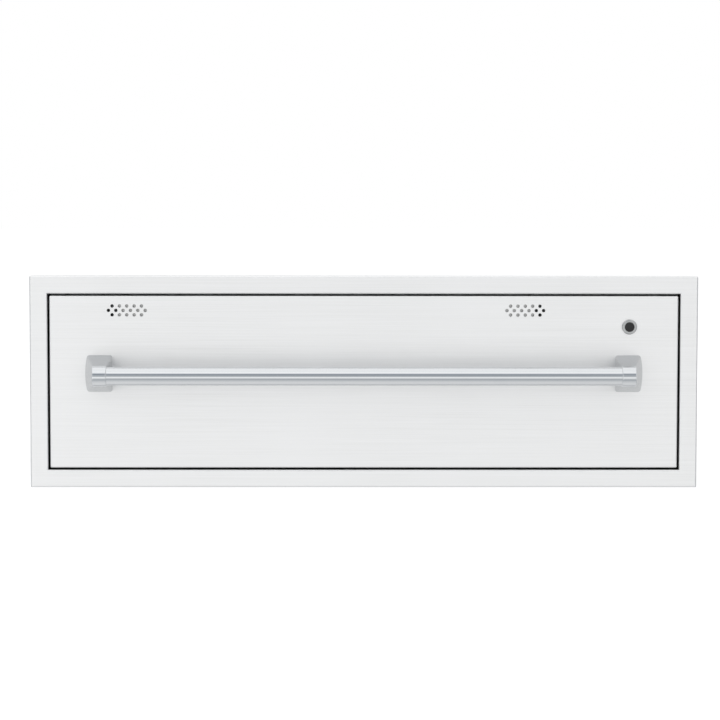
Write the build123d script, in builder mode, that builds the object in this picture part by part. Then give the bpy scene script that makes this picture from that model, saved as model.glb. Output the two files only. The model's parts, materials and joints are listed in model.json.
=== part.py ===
"""Built-in warming drawer: a stainless front, flush in a wide face frame, on ball-bearing slides.

Frame of the part: X to the right, Y to the back, Z up, in millimetres. Z is 0 at the lower edge
of the face frame, X is 0 in its middle, and Y is 0 halfway between the handle and the cord gland.
Depths are counted backwards from the front face of the frame, which the drawer front is flush with.
"""

import os

from build123d import *

os.makedirs("parts", exist_ok=True)

# ---------------------------------------------------------------------------
# Driving dimensions
# ---------------------------------------------------------------------------

# Face frame
face_width = 819.0
face_height = 260.0
flange_width = 22.0
flange_depth = 20.0
frame_sheet = 1.2
frame_bend = 2.2
recess_depth = 38.0
frame_corner = 1.5
reveal_gap = 2.2

# Case behind the frame
case_depth = 545.0
case_sheet = 1.2
case_overlap = 30.0
case_flange = 15.0
louvre_count = 9
louvre_length = 60.0
louvre_width = 5.0
louvre_pitch = 12.0
louvre_rise = 4.0
louvre_slope = 2.5
bead_count = 3
bead_pitch = 170.0
bead_width = 18.0
bead_end_gap = 80.0
bead_rise = 2.0
bead_taper = 30.0
fixing_hole = 4.5
fixing_depth = 27.5
fixing_inset = 60.0

# Cavity inside the case
cavity_side_gap = 15.5
cavity_sheet = 1.0
cavity_rear_room = 37.0
floor_insulation = 17.0
roof_insulation = 16.0
back_insulation = 14.0
ring_depth = 36.0

# Drawer front
door_depth = 32.0
door_sheet = 1.0
door_bend = 2.0
inner_panel_sheet = 0.8
inner_panel_flange = 12.0
gasket_width = 9.0
gasket_gap = 0.3
air_slot_length = 34.0
air_slot_width = 4.0
air_slot_count = 2
button_bay = 60.0
air_bay_width = 70.0
air_bay_height = 34.0

# Vent holes and the baffle behind them
vent_hole = 4.2
vent_pitch = 9.0
vent_row_pitch = 5.4
vent_columns = 6
vent_drop = 42.2
left_vent_inset = 95.05
right_vent_inset = 187.85
baffle_margin = 11.65
baffle_height = 26.0
baffle_standoff = 3.0
baffle_sheet = 0.8
baffle_foot = 6.0

# Handle
bar_diameter = 22.5
bar_wall = 1.5
bar_standoff = 47.5
bar_rise = 10.4
bar_socket = 8.0
post_inset = 60.3
post_length = 60.0
post_base_width = 33.3
post_base_height = 45.0
post_face_width = 17.0
post_face_height = 25.2
post_face_shift = 5.8
post_bulge = 2.6
post_corner = 3.0
post_edge = 0.8
handle_screw_radius = 2.45
handle_screw_head = 4.75
handle_screw_head_height = 3.5
handle_screw_reach = 14.0
handle_screw_spacing = 22.0

# Push-button
button_inset = 60.0
button_drop = 62.2
bezel_radius = 9.2
bezel_height = 2.6
sleeve_radius = 7.9
sleeve_length = 14.0
cap_radius = 5.9
cap_rise = 0.6
cap_taper = 20.0
cap_body_depth = 10.0
button_play = 0.1
button_travel = 1.8
plunger_radius = 2.5
nut_width = 20.0
nut_height = 3.5
switch_size = 17.0
switch_depth = 12.0
switch_corner = 1.5
switch_blade_width = 4.8
switch_blade_length = 3.0

# Drawer tub and the frame that carries it
left_shelf_width = 14.9
deck_width = 144.9
tub_rear_gap = 16.0
tub_floor_gap = 31.2
tub_sheet = 1.0
tub_front_depth = 50.0
tub_corner = 30.0
tub_foot_radius = 14.0
tub_draft = 3.0
tub_rim = 12.0
rim_drop = 26.2
bracket_sheet = 1.5
bracket_drop = 32.0
bracket_lip = 20.0
bracket_gap = 2.0
rear_wall_gap = 28.0
ledge_leg = 24.0

# Control box, thermostat and knob
box_sheet = 0.8
box_side_gap = 10.45
box_length = 170.0
box_foot_gap = 22.0
box_front_gap = 8.0
knob_depth = 110.0
knob_radius = 18.0
knob_height = 16.0
knob_skirt = 3.0
knob_taper = 10.0
grip_width = 8.0
shaft_radius = 3.0
bush_radius = 4.8
bush_height = 3.0
thermostat_size = 42.0
thermostat_height = 34.0
thermostat_corner = 3.0

# Ball-bearing slides
slide_rear_gap = 8.0
slide_start_depth = 40.0
slide_drop = 76.0
slide_width = 19.1
slide_half_height = 26.5
member_sheet = 1.5
member_gap = 0.4
lip_gap = 0.6
groove_depth = 0.7
ball_radius = 2.5
ball_play = 0.05
outer_ball_x = 7.0
inner_ball_x = 11.4
lip_drop = 4.4
cage_sheet = 0.6
cage_length = 230.0
cage_pocket_play = 0.2
balls_per_row = 6
ball_pitch = 40.0

# Heating element and electrics in the case
element_radius = 4.0
element_height = 14.0
element_legs = 4
element_margin = 60.0
element_front_inset = 50.0
element_rear_inset = 24.0
element_end_gap = 12.0
element_bend = 45.0
element_hole_play = 0.6
clip_width = 14.0
clip_height = 24.0
clip_sheet = 1.5
clip_depth = 300.0
cutout_radius = 8.0
cutout_height = 10.0
cutout_inset = 122.0
cutout_rise = 20.0
cutout_window = 44.0
cutout_ear_length = 36.0
cutout_ear_width = 14.0
cutout_hole_spacing = 24.0
blade_sheet = 0.8
blade_width = 6.3
blade_length = 5.0
blade_spacing = 8.0
terminal_length = 70.0
terminal_height = 30.0
terminal_depth = 16.0
terminal_poles = 3
terminal_corner = 2.0
terminal_barrier = 4.0
terminal_screw_radius = 3.5
terminal_screw_height = 2.5
terminal_offset = 180.0
terminal_drop = 20.0
gland_inset = 88.7
gland_rise = 39.2
gland_taper = 12.0
gland_radius = 10.0
gland_bore = 4.5
gland_flange = 3.0
gland_reach = 12.0
back_screw_head = 4.0
back_screw_head_height = 2.2
back_screw_radius = 1.95
back_screw_reach = 8.0
back_screw_inset = 8.0

fit_play = 0.05
hole_play = 0.3

# ---------------------------------------------------------------------------
# Places that follow from them
# ---------------------------------------------------------------------------

face_middle_z = face_height / 2
opening_width = face_width - 2 * flange_width
opening_height = face_height - 2 * flange_width
door_width = opening_width - 2 * reveal_gap
door_height = opening_height - 2 * reveal_gap
door_inside_width = door_width - 2 * door_sheet
door_inside_height = door_height - 2 * door_sheet

case_back_depth = flange_depth + case_depth
case_inside_x = opening_width / 2 + frame_sheet
case_outside_x = case_inside_x + case_sheet
case_inside_low_z = flange_width - frame_sheet
case_inside_high_z = face_height - flange_width + frame_sheet
case_front_depth = recess_depth - case_overlap
fixing_spacing = face_height - 2 * fixing_inset
back_screw_x = case_inside_x - back_screw_inset
back_screw_spread_z = case_inside_high_z - case_inside_low_z - 6 * back_screw_inset

overall_depth = post_length + case_back_depth + gland_reach
front_y = post_length - overall_depth / 2

cavity_width = opening_width - 2 * cavity_side_gap
cavity_inside_x = cavity_width / 2
cavity_outside_x = cavity_inside_x + cavity_sheet
cavity_floor_z = case_inside_low_z + floor_insulation + cavity_sheet
cavity_ceiling_z = case_inside_high_z - roof_insulation - cavity_sheet
cavity_low_z = cavity_floor_z - cavity_sheet
cavity_high_z = cavity_ceiling_z + cavity_sheet
cavity_front_depth = ring_depth + cavity_sheet
cavity_back_depth = case_back_depth - cavity_rear_room

bar_z = face_middle_z + bar_rise
post_spacing = door_width - 2 * post_inset
button_x = door_width / 2 - button_inset
button_z = face_height - button_drop
vent_z = face_height - vent_drop
vent_left_x = left_vent_inset - door_width / 2
vent_right_x = door_width / 2 - right_vent_inset
vent_centres = [(vent_left_x, vent_z), (vent_right_x, vent_z)]

bracket_x = cavity_inside_x - slide_width
shelf_left_x = left_shelf_width - bracket_x
shelf_right_x = bracket_x - deck_width
tub_middle_x = (shelf_left_x + shelf_right_x) / 2
tub_outer_width = shelf_right_x - shelf_left_x - 2 * bracket_gap
tub_width = tub_outer_width - 2 * tub_sheet
rim_z = cavity_ceiling_z - rim_drop
tub_height = rim_z - cavity_floor_z - tub_floor_gap
slide_z = rim_z - slide_drop
bracket_low_z = slide_z - bracket_drop
rear_wall_depth = cavity_back_depth - rear_wall_gap
slide_length = cavity_back_depth - slide_start_depth - slide_rear_gap
tub_outer_length = rear_wall_depth - tub_front_depth - tub_rear_gap
tub_length = tub_outer_length - 2 * tub_sheet
tub_back_depth = tub_front_depth + tub_outer_length
knob_x = (shelf_right_x + bracket_x) / 2
box_width = deck_width - 2 * box_side_gap
box_height = tub_height - box_foot_gap

element_z = cavity_floor_z + element_height
element_front_depth = tub_front_depth + element_front_inset
element_back_depth = tub_back_depth - element_rear_inset
element_end_depth = case_back_depth - element_end_gap
element_pitch = (tub_width - 2 * element_margin) / (element_legs - 1)
element_left_x = tub_middle_x + element_margin - tub_width / 2
element_xs = [element_left_x + leg * element_pitch for leg in range(element_legs)]

cutout_x = cavity_inside_x - cutout_inset
cutout_z = face_middle_z + cutout_rise
gland_x = case_inside_x - gland_inset
gland_z = case_inside_low_z + gland_rise
terminal_x = gland_x - terminal_offset
terminal_z = face_middle_z - terminal_drop


def face_plane(depth):
    """Plane of the front face, moved back by a depth: x to the right, y up, normal to the front."""
    return Plane.XZ.offset(-(front_y + depth))


def y_at(depth):
    """Y of a depth behind the front face."""
    return front_y + depth


def save(piece, name):
    """Label a finished piece and write it under its own name."""
    piece.part.label = name
    export_step(piece.part, f"parts/{name}.step")


def rectangle_between(low_x, high_x, low_y, high_y, mode=Mode.ADD):
    """Put a rectangle between two x and two y values into the open sketch."""
    with Locations(((low_x + high_x) / 2, (low_y + high_y) / 2)):
        Rectangle(high_x - low_x, high_y - low_y, mode=mode)


# ---------------------------------------------------------------------------
# Face frame and case
# ---------------------------------------------------------------------------

# A channel bent from sheet all round: face, outer return and a deeper inner return.
with BuildPart() as face_frame:
    with BuildSketch(face_plane(0)):
        with Locations((0, face_middle_z)):
            Rectangle(face_width, face_height)
            Rectangle(opening_width, opening_height, mode=Mode.SUBTRACT)
    extrude(amount=-flange_depth)
    fillet(face_frame.edges().filter_by(Axis.Y).group_by(SortBy.DISTANCE)[-1], frame_corner)
    fillet(face_frame.faces().sort_by(Axis.Y)[0].edges(), frame_bend)
    with BuildSketch(face_plane(frame_sheet)):
        with Locations((0, face_middle_z)):
            Rectangle(face_width - 2 * frame_sheet, face_height - 2 * frame_sheet)
            Rectangle(2 * case_inside_x, opening_height + 2 * frame_sheet, mode=Mode.SUBTRACT)
    extrude(amount=-flange_depth, mode=Mode.SUBTRACT)
    with BuildSketch(face_plane(flange_depth)):
        with Locations((0, face_middle_z)):
            Rectangle(2 * case_inside_x, opening_height + 2 * frame_sheet)
            Rectangle(opening_width, opening_height, mode=Mode.SUBTRACT)
    extrude(amount=flange_depth - recess_depth)
    with BuildSketch(Plane.YZ):
        with Locations((y_at(fixing_depth), face_middle_z)):
            with GridLocations(0, fixing_spacing, 1, 2):
                Circle(fixing_hole / 2)
    extrude(amount=case_outside_x, both=True, mode=Mode.SUBTRACT)
save(face_frame, "face_frame")

# Each side is a web with flanges turned in at the top, the bottom and the back.
for side, side_name in ((-1, "left"), (1, "right")):
    with BuildPart() as case_side:
        with BuildSketch(face_plane(recess_depth + hole_play)):
            rectangle_between(
                case_inside_x - case_flange, case_outside_x, case_inside_low_z, case_inside_high_z
            )
            rectangle_between(
                case_inside_x - case_flange,
                case_inside_x,
                case_inside_low_z + case_sheet,
                case_inside_high_z - case_sheet,
                mode=Mode.SUBTRACT,
            )
        extrude(amount=recess_depth + hole_play + case_sheet - case_back_depth)
        with BuildSketch(face_plane(case_front_depth)):
            rectangle_between(case_inside_x, case_outside_x, case_inside_low_z, case_inside_high_z)
        extrude(amount=case_front_depth - recess_depth - hole_play)
        with BuildSketch(face_plane(case_back_depth - 2 * case_sheet)):
            rectangle_between(
                case_inside_x - case_flange, case_inside_x, case_inside_low_z, case_inside_high_z
            )
        extrude(amount=-case_sheet)
        with BuildSketch(face_plane(case_back_depth)):
            with Locations((back_screw_x, face_middle_z)):
                with GridLocations(0, back_screw_spread_z / 2, 1, 3):
                    Circle(back_screw_radius + fit_play)
        extrude(amount=3 * case_sheet, mode=Mode.SUBTRACT)
        with BuildSketch(Plane.YZ):
            with Locations((y_at(fixing_depth), face_middle_z)):
                with GridLocations(0, fixing_spacing, 1, 2):
                    Circle(fixing_hole / 2)
        extrude(amount=case_outside_x, mode=Mode.SUBTRACT)
        if side < 0:
            mirror(about=Plane.YZ, mode=Mode.REPLACE)
    save(case_side, f"case_side_{side_name}")

with BuildPart() as case_bottom:
    with BuildSketch(Plane.XY.offset(case_inside_low_z - case_sheet)):
        rectangle_between(
            -case_outside_x, case_outside_x, y_at(case_front_depth), y_at(case_back_depth - case_sheet)
        )
    extrude(amount=case_sheet)
save(case_bottom, "case_bottom")

# The top is stiffened by beads, pressed up from below with the sheet's thickness kept.
bead_length = 2 * (case_inside_x - bead_end_gap)
bead_middle_y = y_at((case_front_depth + case_back_depth) / 2)
with BuildPart() as case_top:
    with BuildSketch(Plane.XY.offset(case_inside_high_z)):
        rectangle_between(
            -case_outside_x, case_outside_x, y_at(case_front_depth), y_at(case_back_depth - case_sheet)
        )
    extrude(amount=case_sheet)
    with BuildSketch(Plane.XY.offset(case_inside_high_z + case_sheet)):
        with Locations((0, bead_middle_y)):
            with GridLocations(0, bead_pitch, 1, bead_count):
                SlotOverall(bead_length, bead_width)
    extrude(amount=bead_rise, taper=bead_taper)
    with BuildSketch(Plane.XY.offset(case_inside_high_z)):
        with Locations((0, bead_middle_y)):
            with GridLocations(0, bead_pitch, 1, bead_count):
                SlotOverall(bead_length - 2 * case_sheet, bead_width - 2 * case_sheet)
    extrude(amount=bead_rise, taper=bead_taper, mode=Mode.SUBTRACT)
save(case_top, "case_top")

# The back closes the wrap and has the rear louvres, the cord hole and the screw holes. Each louvre
# is a slit with a hood pressed out above it, open towards the floor, with closed cheeks.
louvre_left_xs = (-(case_inside_x + louvre_length) / 2, -louvre_length / 2)
louvre_low_z = -louvre_width / 2
louvre_high_z = louvre_width / 2
louvre_outside = (
    (0, louvre_low_z),
    (louvre_rise, louvre_low_z),
    (louvre_rise, louvre_high_z - louvre_slope + case_sheet),
    (0, louvre_high_z + case_sheet),
)
louvre_inside = (
    (-case_sheet, louvre_low_z),
    (louvre_rise - case_sheet, louvre_low_z),
    (louvre_rise - case_sheet, louvre_high_z - louvre_slope),
    (0, louvre_high_z),
    (-case_sheet, louvre_high_z),
)
with BuildPart() as case_back:
    with BuildSketch(face_plane(case_back_depth - case_sheet)):
        rectangle_between(
            -case_outside_x, case_outside_x, case_inside_low_z - case_sheet, case_inside_high_z + case_sheet
        )
        with Locations((gland_x, gland_z)):
            Circle(gland_radius + fit_play, mode=Mode.SUBTRACT)
        with Locations((0, face_middle_z)):
            with GridLocations(2 * back_screw_x, back_screw_spread_z / 2, 2, 3):
                Circle(back_screw_radius + fit_play, mode=Mode.SUBTRACT)
    extrude(amount=-case_sheet)
    for left_x in louvre_left_xs:
        with BuildSketch(Plane.YZ.offset(left_x - case_sheet)):
            with Locations((y_at(case_back_depth), face_middle_z)):
                with GridLocations(0, louvre_pitch, 1, louvre_count):
                    Polygon(*louvre_outside, align=None)
        extrude(amount=louvre_length + 2 * case_sheet)
        with BuildSketch(Plane.YZ.offset(left_x)):
            with Locations((y_at(case_back_depth), face_middle_z)):
                with GridLocations(0, louvre_pitch, 1, louvre_count):
                    Polygon(*louvre_inside, align=None)
        extrude(amount=louvre_length, mode=Mode.SUBTRACT)
save(case_back, "case_back")

with BuildPart() as back_screws:
    with BuildSketch(face_plane(case_back_depth)):
        with Locations((0, face_middle_z)):
            with GridLocations(2 * back_screw_x, back_screw_spread_z / 2, 2, 3):
                Circle(back_screw_head)
    extrude(amount=-back_screw_head_height)
    with BuildSketch(face_plane(case_back_depth)):
        with Locations((0, face_middle_z)):
            with GridLocations(2 * back_screw_x, back_screw_spread_z / 2, 2, 3):
                Circle(back_screw_radius)
    extrude(amount=back_screw_reach)
save(back_screws, "back_screws")

# Strain relief: a flanged bush, snapped into the back, with a rounded mouth for the cord.
with BuildPart() as cord_gland:
    with BuildSketch(face_plane(case_back_depth)):
        with Locations((gland_x, gland_z)):
            Circle(gland_radius + gland_flange)
    extrude(amount=-gland_reach, taper=gland_taper)
    fillet(cord_gland.faces().sort_by(Axis.Y)[-1].edges(), gland_flange / 2)
    with BuildSketch(face_plane(case_back_depth)):
        with Locations((gland_x, gland_z)):
            Circle(gland_radius)
    extrude(amount=case_sheet + gland_flange)
    with BuildSketch(face_plane(case_back_depth - case_sheet - gland_flange)):
        with Locations((gland_x, gland_z)):
            Circle(gland_bore)
    extrude(amount=-(gland_reach + case_sheet + gland_flange), mode=Mode.SUBTRACT)
save(cord_gland, "cord_gland")

# ---------------------------------------------------------------------------
# Cavity, insulation and heat
# ---------------------------------------------------------------------------

# The ring closes the space between case and cavity, and the door gasket lands on it.
with BuildPart() as cavity_front:
    with BuildSketch(face_plane(ring_depth)):
        with Locations((0, face_middle_z)):
            Rectangle(opening_width, opening_height)
        rectangle_between(
            -cavity_inside_x, cavity_inside_x, cavity_floor_z, cavity_ceiling_z, mode=Mode.SUBTRACT
        )
    extrude(amount=-cavity_sheet)
save(cavity_front, "cavity_front")

for side, side_name in ((-1, "left"), (1, "right")):
    with BuildPart() as cavity_side:
        with BuildSketch(face_plane(cavity_front_depth)):
            rectangle_between(cavity_inside_x, cavity_outside_x, cavity_low_z, cavity_high_z)
        extrude(amount=cavity_front_depth - cavity_back_depth)
        if side < 0:
            mirror(about=Plane.YZ, mode=Mode.REPLACE)
    save(cavity_side, f"cavity_side_{side_name}")

with BuildPart() as cavity_ceiling:
    with BuildSketch(Plane.XY.offset(cavity_ceiling_z)):
        rectangle_between(
            -cavity_inside_x, cavity_inside_x, y_at(cavity_front_depth), y_at(cavity_back_depth)
        )
    extrude(amount=cavity_sheet)
save(cavity_ceiling, "cavity_ceiling")

# The floor reflects the heat up and carries the clips of the element.
with BuildPart() as cavity_floor:
    with BuildSketch(Plane.XY.offset(cavity_floor_z - cavity_sheet)):
        rectangle_between(
            -cavity_inside_x, cavity_inside_x, y_at(cavity_front_depth), y_at(cavity_back_depth)
        )
    extrude(amount=cavity_sheet)
save(cavity_floor, "cavity_floor")

with BuildPart() as cavity_back:
    with BuildSketch(face_plane(cavity_back_depth)):
        rectangle_between(-cavity_outside_x, cavity_outside_x, cavity_low_z, cavity_high_z)
        with Locations((element_xs[0], element_z), (element_xs[-1], element_z)):
            Circle(element_radius + element_hole_play, mode=Mode.SUBTRACT)
    extrude(amount=-cavity_sheet)
save(cavity_back, "cavity_back")

# Slabs of mineral wool fill the space between the cavity and the case.
slab_front_depth = recess_depth + hole_play
slab_back_depth = cavity_back_depth + cavity_sheet
slab_low_z = case_inside_low_z + case_sheet
slab_high_z = case_inside_high_z - case_sheet
slab_levels = {
    "top": (cavity_ceiling_z + cavity_sheet, case_inside_high_z),
    "bottom": (case_inside_low_z, cavity_floor_z - cavity_sheet),
}
for slab_name, (low_z, high_z) in slab_levels.items():
    with BuildPart() as insulation_slab:
        with BuildSketch(Plane.XY.offset(low_z)):
            rectangle_between(
                -cavity_outside_x, cavity_outside_x, y_at(slab_front_depth), y_at(slab_back_depth)
            )
        extrude(amount=high_z - low_z)
    save(insulation_slab, f"insulation_{slab_name}")

for side, side_name in ((-1, "left"), (1, "right")):
    with BuildPart() as insulation_side:
        with BuildSketch(face_plane(slab_front_depth)):
            rectangle_between(cavity_outside_x, case_inside_x, slab_low_z, slab_high_z)
        extrude(amount=slab_front_depth - cavity_back_depth - cavity_sheet)
        if side < 0:
            mirror(about=Plane.YZ, mode=Mode.REPLACE)
    save(insulation_side, f"insulation_{side_name}")

with BuildPart() as insulation_back:
    with BuildSketch(face_plane(cavity_back_depth + cavity_sheet)):
        rectangle_between(-cavity_outside_x, cavity_outside_x, slab_low_z, slab_high_z)
        with Locations((element_xs[0], element_z), (element_xs[-1], element_z)):
            Circle(element_radius + element_hole_play, mode=Mode.SUBTRACT)
        with Locations((cutout_x, cutout_z)):
            Rectangle(cutout_window, cutout_window, mode=Mode.SUBTRACT)
    extrude(amount=-back_insulation)
save(insulation_back, "insulation_back")

# Sheathed element: two loops under the tub, with both ends through the back of the cavity.
element_points = [
    (element_xs[0], y_at(element_end_depth)),
    (element_xs[0], y_at(element_front_depth)),
    (element_xs[1], y_at(element_front_depth)),
    (element_xs[1], y_at(element_back_depth)),
    (element_xs[2], y_at(element_back_depth)),
    (element_xs[2], y_at(element_front_depth)),
    (element_xs[3], y_at(element_front_depth)),
    (element_xs[3], y_at(element_end_depth)),
]
with BuildPart() as heating_element:
    with BuildLine(Plane.XY.offset(element_z)) as element_path:
        FilletPolyline(*element_points, radius=element_bend)
    with BuildSketch(Plane(element_path.line @ 0, z_dir=element_path.line % 0)):
        Circle(element_radius)
    sweep()
save(heating_element, "heating_element")

# Spring clips stand on the floor and hold the legs of the element off it.
with BuildPart() as element_clips:
    with BuildSketch(face_plane(clip_depth)):
        for leg_x in element_xs:
            rectangle_between(
                leg_x - clip_width / 2, leg_x + clip_width / 2, cavity_floor_z, cavity_floor_z + clip_height
            )
        with Locations(*[(leg_x, element_z) for leg_x in element_xs]):
            Circle(element_radius + fit_play, mode=Mode.SUBTRACT)
        for leg_x in element_xs:
            rectangle_between(
                leg_x - element_radius / 2,
                leg_x + element_radius / 2,
                element_z,
                cavity_floor_z + clip_height,
                mode=Mode.SUBTRACT,
            )
    extrude(amount=-clip_sheet)
    with BuildSketch(Plane.XY.offset(cavity_floor_z)):
        for leg_x in element_xs:
            rectangle_between(
                leg_x - clip_width / 2,
                leg_x + clip_width / 2,
                y_at(clip_depth),
                y_at(clip_depth + clip_width),
            )
    extrude(amount=clip_sheet)
save(element_clips, "element_clips")

# Bimetal disc on the outside of the cavity back, in a window of the insulation.
with BuildPart() as heat_cutout:
    with BuildSketch(face_plane(cavity_back_depth + cavity_sheet)):
        with Locations((cutout_x, cutout_z)):
            SlotOverall(cutout_ear_length, cutout_ear_width)
            with GridLocations(cutout_hole_spacing, 0, 2, 1):
                Circle(back_screw_radius, mode=Mode.SUBTRACT)
    extrude(amount=-case_sheet)
    with BuildSketch(face_plane(cavity_back_depth + cavity_sheet + case_sheet)):
        with Locations((cutout_x, cutout_z)):
            Circle(cutout_radius)
    extrude(amount=-cutout_height)
    with BuildSketch(face_plane(cavity_back_depth + cavity_sheet + case_sheet + cutout_height)):
        with Locations((cutout_x, cutout_z)):
            with GridLocations(blade_spacing, 0, 2, 1):
                Rectangle(blade_sheet, blade_width)
    extrude(amount=-blade_length)
save(heat_cutout, "heat_cutout")

# Ceramic block with three poles and the barriers between them, on the back of the case.
pole_width = terminal_length / terminal_poles
with BuildPart() as terminal_block:
    with BuildSketch(face_plane(case_back_depth - case_sheet)):
        with Locations((terminal_x, terminal_z)):
            RectangleRounded(terminal_length, terminal_height, terminal_corner)
    extrude(amount=terminal_depth)
    with BuildSketch(face_plane(case_back_depth - case_sheet - terminal_depth)):
        with Locations((terminal_x, terminal_z)):
            with GridLocations(pole_width, 0, terminal_poles, 1):
                Rectangle(pole_width - terminal_barrier, terminal_height)
    extrude(amount=-terminal_depth / 2, mode=Mode.SUBTRACT)
    with BuildSketch(face_plane(case_back_depth - case_sheet - terminal_depth / 2)):
        with Locations((terminal_x, terminal_z)):
            with GridLocations(pole_width, terminal_height / 2, terminal_poles, 2):
                Circle(terminal_screw_radius)
    extrude(amount=terminal_screw_height)
save(terminal_block, "terminal_block")

# ---------------------------------------------------------------------------
# Drawer front
# ---------------------------------------------------------------------------

post_centres = [(-post_spacing / 2, bar_z), (post_spacing / 2, bar_z)]

# A pan formed from sheet: bent edges all round, punched for the vents, the button and the handle.
with BuildPart() as door_skin:
    with BuildSketch(face_plane(0)):
        with Locations((0, face_middle_z)):
            Rectangle(door_width, door_height)
    extrude(amount=-door_depth)
    fillet(door_skin.edges().filter_by(Axis.Y), frame_corner)
    fillet(door_skin.faces().sort_by(Axis.Y)[0].edges(), door_bend)
    with BuildSketch(face_plane(door_sheet)):
        with Locations((0, face_middle_z)):
            RectangleRounded(door_inside_width, door_inside_height, frame_corner - door_sheet)
    extrude(amount=-door_depth, mode=Mode.SUBTRACT)
    with BuildSketch(face_plane(0)):
        for centre in vent_centres:
            with Locations(centre):
                with GridLocations(vent_pitch, 0, vent_columns, 1):
                    Circle(vent_hole / 2)
                with GridLocations(vent_pitch, 2 * vent_row_pitch, vent_columns - 1, 2):
                    Circle(vent_hole / 2)
        with Locations((button_x, button_z)):
            Circle(sleeve_radius + fit_play)
        for centre in post_centres:
            with Locations(centre):
                with GridLocations(0, handle_screw_spacing, 1, 2):
                    Circle(handle_screw_radius + hole_play)
    extrude(amount=-door_sheet, mode=Mode.SUBTRACT)
save(door_skin, "door_skin")

# Hat section behind the vents: its feet are welded to the skin, its ends are open.
baffle_low_z = vent_z - baffle_height / 2
baffle_high_z = vent_z + baffle_height / 2
with BuildPart() as vent_baffle:
    with BuildSketch(Plane.YZ.offset(vent_left_x - baffle_margin)):
        rectangle_between(
            y_at(door_sheet), y_at(door_sheet + baffle_standoff + baffle_sheet), baffle_low_z, baffle_high_z
        )
        rectangle_between(
            y_at(door_sheet),
            y_at(door_sheet + baffle_standoff),
            baffle_low_z + baffle_sheet,
            baffle_high_z - baffle_sheet,
            mode=Mode.SUBTRACT,
        )
        rectangle_between(
            y_at(door_sheet), y_at(door_sheet + baffle_sheet), baffle_low_z - baffle_foot, baffle_low_z
        )
    extrude(amount=vent_right_x - vent_left_x + 2 * baffle_margin)
save(vent_baffle, "vent_baffle")

# Wool slab between skin and inner panel, cut out round the air path, the posts and the button.
door_slab_depth = door_sheet + baffle_standoff + baffle_sheet
door_slab_inset = inner_panel_sheet + door_sheet
with BuildPart() as door_insulation:
    with BuildSketch(face_plane(door_slab_depth)):
        with Locations((0, face_middle_z)):
            Rectangle(door_width - 2 * door_slab_inset, door_height - 2 * door_slab_inset)
        for centre_x, centre_z in vent_centres:
            rectangle_between(
                centre_x - air_bay_width / 2,
                centre_x + air_bay_width / 2,
                centre_z - air_bay_height / 2,
                face_height,
                mode=Mode.SUBTRACT,
            )
        rectangle_between(
            button_x - button_bay / 2, face_width, button_z - button_bay / 2, face_height, mode=Mode.SUBTRACT
        )
    extrude(amount=door_slab_depth - door_depth + inner_panel_sheet)
save(door_insulation, "door_insulation")

# The inner panel is a tray pressed into the skin, with air slots behind the open vent holes.
with BuildPart() as door_inner_panel:
    with BuildSketch(face_plane(door_depth - inner_panel_flange)):
        with Locations((0, face_middle_z)):
            RectangleRounded(door_inside_width, door_inside_height, frame_corner - door_sheet)
    extrude(amount=-inner_panel_flange)
    with BuildSketch(face_plane(door_depth - inner_panel_flange)):
        with Locations((0, face_middle_z)):
            Rectangle(door_width - 2 * door_slab_inset, door_height - 2 * door_slab_inset)
    extrude(amount=inner_panel_sheet - inner_panel_flange, mode=Mode.SUBTRACT)
    with BuildSketch(face_plane(door_depth)):
        with Locations(*vent_centres):
            with GridLocations(0, 2 * air_slot_width, 1, air_slot_count):
                SlotOverall(air_slot_length, air_slot_width)
        with Locations((knob_x, button_z - button_bay / 2)):
            Circle(cap_radius)
    extrude(amount=inner_panel_sheet, mode=Mode.SUBTRACT)
save(door_inner_panel, "door_inner_panel")

# Hollow-section seal on the back of the door, opposite the cavity ring.
gasket_height = ring_depth - door_depth - gasket_gap
ring_land = (opening_width - cavity_width) / 2
gasket_outer_width = cavity_width + ring_land + gasket_width
gasket_outer_low_z = (flange_width + cavity_floor_z - gasket_width) / 2
gasket_outer_high_z = (face_height - flange_width + cavity_ceiling_z + gasket_width) / 2
with BuildPart() as door_gasket:
    with BuildSketch(face_plane(door_depth)):
        rectangle_between(
            -gasket_outer_width / 2, gasket_outer_width / 2, gasket_outer_low_z, gasket_outer_high_z
        )
        rectangle_between(
            gasket_width - gasket_outer_width / 2,
            gasket_outer_width / 2 - gasket_width,
            gasket_outer_low_z + gasket_width,
            gasket_outer_high_z - gasket_width,
            mode=Mode.SUBTRACT,
        )
    extrude(amount=-gasket_height)
    fillet(door_gasket.faces().sort_by(Axis.Y)[-1].edges(), gasket_height / 3)
save(door_gasket, "door_gasket")

# ---------------------------------------------------------------------------
# Handle
# ---------------------------------------------------------------------------

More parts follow.
